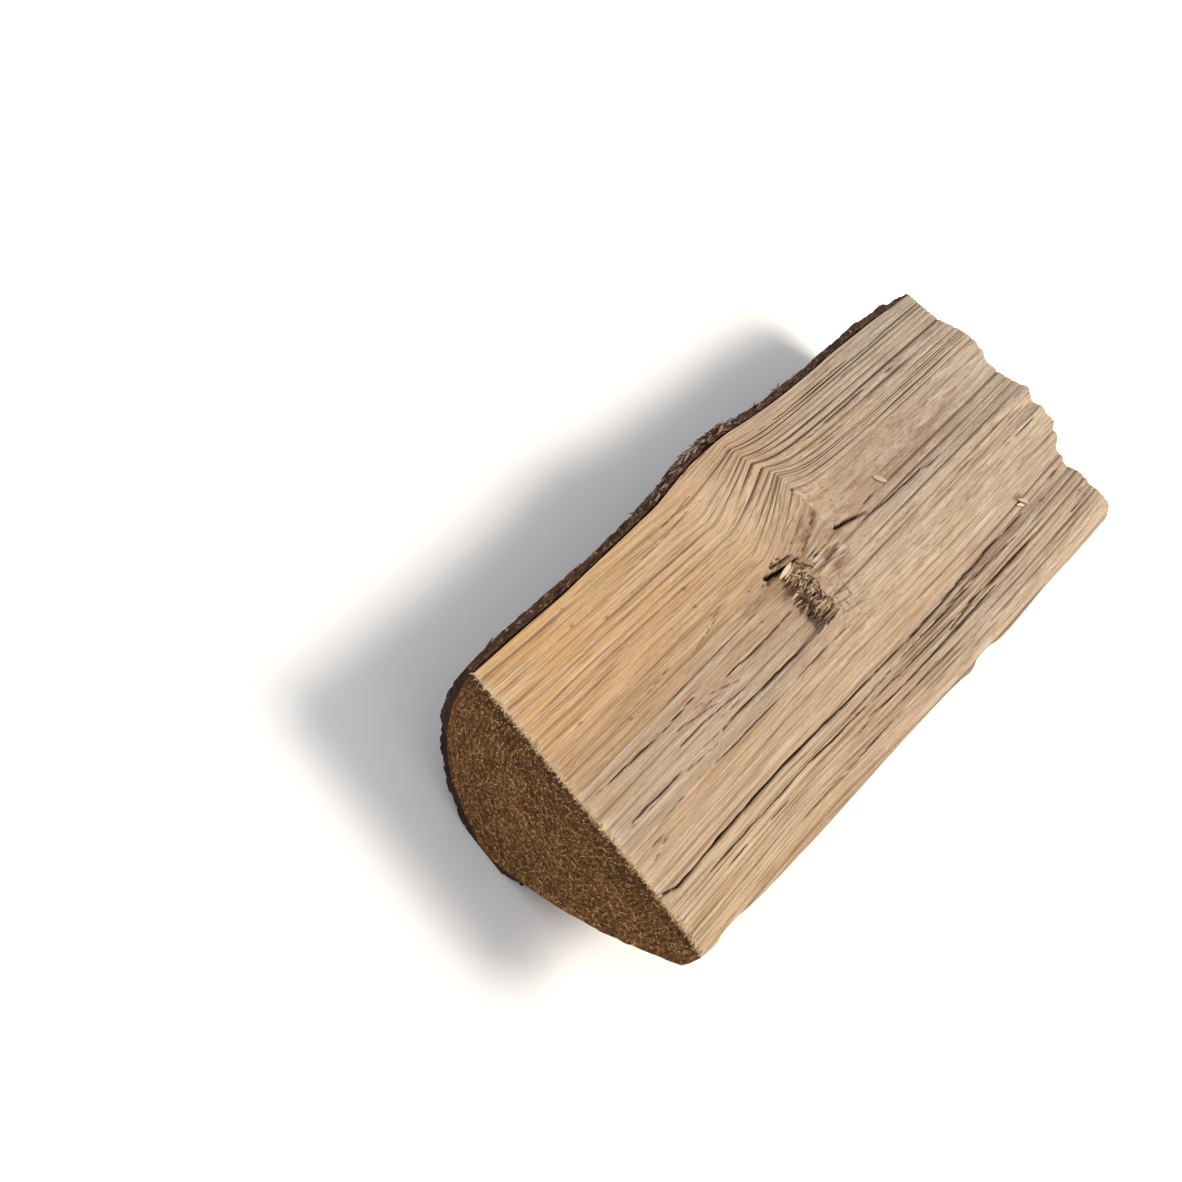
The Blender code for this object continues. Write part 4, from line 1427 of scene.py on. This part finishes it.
def split_face_finish():
    """Broad tints with some painted light first, then bands and fibres, then marks, dirty grooves with
    painted shade, and painted shade in cracks.
    """
    material, tree, shader = new_finish("weathered_split_softwood")
    _, grain = field(tree, "grain")
    (fresh, grey, dirt_and_shade), _ = field(tree, "wear")
    (dark, pale, green), _ = field(tree, "knot")
    (stain, pale_band_and_highlight, pink), _ = field(tree, "tint")
    mottle = numbers(tree, "MULTIPLY", grey, streaks(tree, grain, 0.55, 2.2, 3.0, 0.5, 0.68))
    film = numbers(tree, "MULTIPLY", green, streaks(tree, grain, 1.0, 1.8, 3.0, 0.42, 0.6))
    colour = glaze(
        tree, blend(tree, fresh, TAN, HONEY),
        (grey, 1.0, GREY),
        # Pale bands, with painted light on the far hump's left slope and a painted highlight below the
        # crease
        (pale_band_and_highlight, 0.75, PALE_WOOD_AND_HIGHLIGHT),
        (pink, 0.6, PINK_WOOD),
        # The same wood is never one colour across its rings
        (streaks(tree, grain, 2.4, 150.0, 2.0, 0.38, 0.68), 0.42, SUMMER_WOOD),
        (streaks(tree, grain, 0.8, 45.0, 3.0, 0.48, 0.72), 0.42, BLEACHED),
        (streaks(tree, grain, 0.34, 18.0, 2.0, 0.48, 0.72), 0.62, GROOVE_DIRT_AND_SHADE),
        (mottle, 0.36, WEATHER_GREY),
        # Lint and dark specks
        (streaks(tree, grain, 0.26, 3.0, 2.0, 0.60, 0.76), 0.45, BLEACHED),
        (streaks(tree, grain, 0.45, 0.9, 2.0, 0.66, 0.78), 0.55, STAIN_BROWN),
        (film, 0.5, GREEN_FILM),
        (stain, 1.0, STAIN_BROWN),
        (pale, 0.75, BLEACHED),
        # Dirt and painted shade in the ring grooves and in the pocket below the lip
        (dirt_and_shade, 0.9, GROOVE_DIRT_AND_SHADE),
        # Painted shade in cracks, holes and tears, with dark flecks
        (dark, 1.0, CRACK_SHADE),
    )
    fuzz = streaks(tree, grain, 0.24, 4.0, 3.0, 0.2, 0.8)
    surface(tree, shader, colour, 0.82, 0.25, fuzz, 0.00025, 0.7)
    return material


split_face_wood = split_face_finish()
print("made", split_face_wood.name)

# %% [markdown]
# ### Sawn end grain
# End grain drinks water and darkens, here to a deep brown. The cut fibres end in bright
# specks, and growth rings show faintly round the heart. Just under the split face the end
# stayed wet longest, so it is darkest there. The edge itself is pale with torn fibres.

# %% Sawn end finish
END_BROWN, END_DARK, END_GOLD, END_PALE = "#84592f", "#3a2310", "#e2bd88", "#d2b690"
RING_SPACING = 1.35
END_SPECK = 1.1             # with finer specks inside; cut fibres themselves are too fine to show


def ring_wave(tree, place):
    """Arcs round the heart, RING_SPACING apart, bent a little by noise."""
    centred = vectors(tree, "SUBTRACT", place, (HEART[0], 0.0, HEART[1]))
    radius = vectors(tree, "LENGTH", vectors(tree, "MULTIPLY", centred, (1.0, 0.0, 1.0)))
    bent = add_node(tree, "ShaderNodeTexNoise", {"Vector": place, "Scale": 0.08, "Detail": 2.0})
    wobble = numbers(tree, "MULTIPLY_ADD", bent.outputs[0], 5.0, radius)
    return numbers(tree, "SINE", numbers(tree, "MULTIPLY", wobble, 2.0 * math.pi / RING_SPACING))


def sawn_end_finish():
    """Brown with dark patches, then wet top, rings, specks and the pale edge."""
    material, tree, shader = new_finish("sawn_end_grain")
    (_, _, up), place = field(tree, "grain")
    speck = grit(tree, place, END_SPECK, 4.0, 0.78)
    damp = ranged(tree, grit(tree, place, 9.0, 2.0), 0.35, 0.6)
    edge = numbers(tree, "MULTIPLY_ADD", grit(tree, place, 1.3, 3.0), 3.4, up)
    colour = glaze(
        tree, linear(END_BROWN),
        (ranged(tree, grit(tree, place, 6.0, 3.0), 0.42, 0.66), 0.4, END_DARK),
        (numbers(tree, "MULTIPLY", ranged(tree, up, -10.0, -1.0), damp), 0.6, END_DARK),
        (ranged(tree, ring_wave(tree, place), -0.5, 0.9), 0.55, END_DARK),
        (ranged(tree, speck, 0.50, 0.38), 0.8, END_DARK),
        (ranged(tree, speck, 0.56, 0.68), 0.7, END_GOLD),
        (ranged(tree, edge, 1.3, 2.4), 0.75, END_PALE),
    )
    surface(tree, shader, colour, 0.9, 0.2, speck, 0.0008, 0.9)
    return material


end_grain = sawn_end_finish()
print("rings every", RING_SPACING, "mm")

# %% [markdown]
# ### Bare flank
# Where the outer bark has dropped off, the wood keeps a thin reddish skin of inner bark. It
# is smoother than the split face, with fine lines along the trunk and a few darker rags.

# %% Bare flank finish
FLANK_WOOD, FLANK_RED, FLANK_DARK = "#8f6a48", "#66402a", "#3c2519"


def bare_flank_finish():
    """Fine lines between wood and inner bark, with soft dark rags and specks."""
    material, tree, shader = new_finish("bare_inner_bark")
    _, place = field(tree, "grain")
    lines = streaks(tree, place, 0.8, 30.0, 3.0, 0.35, 0.7)
    colour = glaze(
        tree, blend(tree, lines, FLANK_WOOD, FLANK_RED),
        (streaks(tree, place, 5.0, 22.0, 4.0, 0.42, 0.68), 0.5, FLANK_DARK),
        (streaks(tree, place, 0.7, 2.0, 3.0, 0.6, 0.7), 0.5, FLANK_DARK),
    )
    surface(tree, shader, colour, 0.7, 0.3, lines, 0.0003, 0.6)
    return material


bare_flank = bare_flank_finish()
print("made", bare_flank.name)

# %% [markdown]
# ### Scaly bark
# Young softwood bark is a stack of thin brown scales with a purple-grey bloom. Furrows are
# almost black. The rim, where the axe tore it, shows the fibrous red-brown inside.

# %% Bark finish
BARK_BROWN, BARK_GREY, BARK_DARK, BARK_INSIDE = "#452c1b", "#604a3c", "#1c1009", "#573622"
BARK_LICHEN, BARK_PINK = "#6e6550", "#987c70"


def bark_finish():
    """A tone for each scale, mottled, with the torn inside, pink flecks, dark furrows and painted shade in
    the gap beside the wood.
    """
    material, tree, shader = new_finish("scaly_softwood_bark")
    _, place = field(tree, "grain")
    (cut, furrow, number), _ = field(tree, "wear")
    grains = streaks(tree, place, 0.5, 0.8, 3.0, 0.5, 0.75)
    inside = blend(tree, streaks(tree, place, 0.6, 4.0, 3.0, 0.4, 0.65), BARK_DARK, BARK_INSIDE)
    colour = glaze(
        tree, blend(tree, number, BARK_DARK, BARK_BROWN),
        (streaks(tree, place, 3.0, 5.0, 4.0, 0.35, 0.7), 0.8, BARK_BROWN),
        (streaks(tree, place, 9.0, 14.0, 3.0, 0.52, 0.66), 0.5, BARK_GREY),
        (grains, 0.3, BARK_LICHEN),
        (cut, 0.8, inside),
        (streaks(tree, place, 0.9, 1.6, 3.0, 0.58, 0.70), 0.65, BARK_PINK),
        (furrow, 0.9, BARK_DARK),
    )
    surface(tree, shader, colour, 0.88, 0.25, grains, 0.0005, 0.7)
    return material


bark_scales = bark_finish()
print("made", bark_scales.name)

# %% [markdown]
# ### Torn fibres
# Fresh slivers are paler than the face they stand on, because they weather on all sides and
# lose their dust. Bast fibres on the bark are straw grey.

# %% Fibre finishes
FIBRES = {      # piece: name of its finish, palest and darkest sliver
    "knot_splinters": ("torn_wood_splinters", "#c8ad8c", "#7b5d43"),
    "pale_chips": ("pale_wood_chip", "#dccbb2", "#bba081"),
    "saw_fuzz": ("sawn_fibre_fuzz", "#cbb18d", "#97764f"),
    "end_fibres": ("cut_end_fibres", "#e0b983", "#80582f"),
    "bark_fibres": ("bast_fibre", "#a08b7a", "#4a352a"),
}


def fibre_finish(name, pale, dark):
    """Each sliver has its own tone between pale and dark."""
    material, tree, shader = new_finish(name)
    _, place = field(tree, "grain")
    (tone, _, _), _ = field(tree, "wear")
    spots = streaks(tree, place, 0.4, 2.0, 2.0, 0.4, 0.7)
    surface(tree, shader, glaze(tree, blend(tree, tone, pale, dark), (spots, 0.4, dark)), 0.85, 0.2)
    return material


for piece_name, looks in FIBRES.items():
    slivers[piece_name].data.materials.append(fibre_finish(*looks))
print("made", len(FIBRES), "fibre finishes")

# %% [markdown]
# ## Dressing the pieces
# The wood wears three finishes: split face, sawn ends and bare flank. The others wear one
# each. The wood's skin is also laid out flat on one sheet, so that its finishes can be kept
# as one picture. Every piece rides on the log's only body, and the imported solid is hidden.

# %% Assign finishes and tie the pieces to the frame
FACE_WIDTH = 0.66                       # share of the sheet's width for the split face
ROUND_START, ROUND_WIDTH = 0.67, 0.15   # and for the round side
CAP_START, CAP_WIDTH = 0.83, 0.16       # and for the two ends, one above the other
CAP_HEIGHT, CAP_MARGIN = 0.45, 0.02     # share of the sheet's height for one end
END_LOW, END_SPAN = (-8.0, -41.0), (110.0, 52.0)    # room for an end, across and up, in mm


def dress_wood():
    """Gives each face of the wood its finish, by the order in which the faces were made."""
    for material in (split_face_wood, bare_flank, end_grain):
        wood.data.materials.append(material)
    slots = np.full(len(wood.data.polygons), 2, np.int32)
    side = np.zeros((rows - 1, columns), np.int32)
    side[:, FACE_COLUMNS - 1:] = 1
    slots[: side.size] = side.ravel()
    wood.data.polygons.foreach_set("material_index", slots)


def unroll_wood():
    """Lays the wood out flat on one sheet: split face, round side and two ends, side by side."""
    row, column = np.meshgrid(np.arange(rows - 1), np.arange(columns), indexing="ij")
    corner_row = np.stack([row, row, row + 1, row + 1], axis=-1)
    corner_column = np.stack([column, column + 1, column + 1, column], axis=-1)
    last = FACE_COLUMNS - 1
    on_face = FACE_WIDTH * corner_column / last
    on_round = ROUND_START + ROUND_WIDTH * (corner_column - last) / (columns - last)
    right = np.where(column[..., None] < last, on_face, on_round).ravel()
    top = row_places()[corner_row].ravel() / LENGTH
    corners = np.empty(len(wood.data.loops), np.int32)
    wood.data.loops.foreach_get("vertex_index", corners)
    ends = wood_mesh_points[corners[right.size:]]
    far = (ends[:, 1] > LENGTH / 2) * 0.5
    end_right = CAP_START + CAP_WIDTH * np.clip((ends[:, 2] - END_LOW[1]) / END_SPAN[1], 0.0, 1.0)
    end_top = CAP_MARGIN + far + CAP_HEIGHT * (ends[:, 0] - END_LOW[0]) / END_SPAN[0]
    sheet = np.stack([np.concatenate([right, end_right]), np.concatenate([top, end_top])], axis=-1)
    layer = wood.data.uv_layers.new(name="OFBake")
    layer.data.foreach_set("uv", sheet.astype(np.float32).ravel())


dress_wood()
unroll_wood()
bark.data.materials.append(bark_scales)
for piece in (wood, bark, *slivers.values()):
    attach(piece, "root")
    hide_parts("split_log")
print("pieces:", [piece.name for piece in (wood, bark, *slivers.values())])

# %% [markdown]
# ## Floor and light
# A plain pale floor and soft lamps. The main lamp stands to the right and beyond the log, so
# that every ridge and ledge draws a short shade towards the near left, and the near end lies
# in shade. A wide weak lamp and a pale sky fill the shades.

# %% Stage
KEY_FROM = (0.52, 0.36, 0.86)     # direction of the main lamp, in across, along and up
FILL_FROM = (-0.5, -0.6, 0.62)


def lamp(name, way, reach, size, watts, colour):
    """A square soft lamp that faces the log."""
    data = bpy.data.lights.new(name, "AREA")
    data.size, data.energy, data.color = size, watts, linear(colour)[:3]
    made = bpy.data.objects.new(name, data)
    bpy.context.scene.collection.objects.link(made)
    middle = (log_low + log_high) / 2
    made.location = middle + Vector(way).normalized() * reach
    made.rotation_mode = "QUATERNION"
    made.rotation_quaternion = Vector(way).to_track_quat("Z", "Y")
    return made


def lay_floor():
    """A wide plain floor that the log rests on."""
    bpy.ops.mesh.primitive_plane_add(size=8.0, location=(0.0, 0.0, log_low.z))
    floor = bpy.context.object
    floor.name = "floor"
    material, _, shader = new_finish("pale_floor")
    shader.inputs["Base Color"].default_value = linear("#f3f2f0")
    shader.inputs["Roughness"].default_value = 0.9
    floor.data.materials.append(material)
    return floor


lay_floor()
lamp("key", KEY_FROM, 1.4, 0.55, 22.5, "#fff6ea")
lamp("fill", FILL_FROM, 1.6, 1.4, 5.0, "#eef3ff")
world = bpy.data.worlds.new("studio")
bpy.context.scene.world = world
world.use_nodes = True
world.node_tree.nodes["Background"].inputs["Color"].default_value = linear("#f6f7fa")
world.node_tree.nodes["Background"].inputs["Strength"].default_value = 0.6
bpy.context.scene.view_settings.view_transform = "Standard"
print("lamps:", [light.name for light in bpy.data.lights])
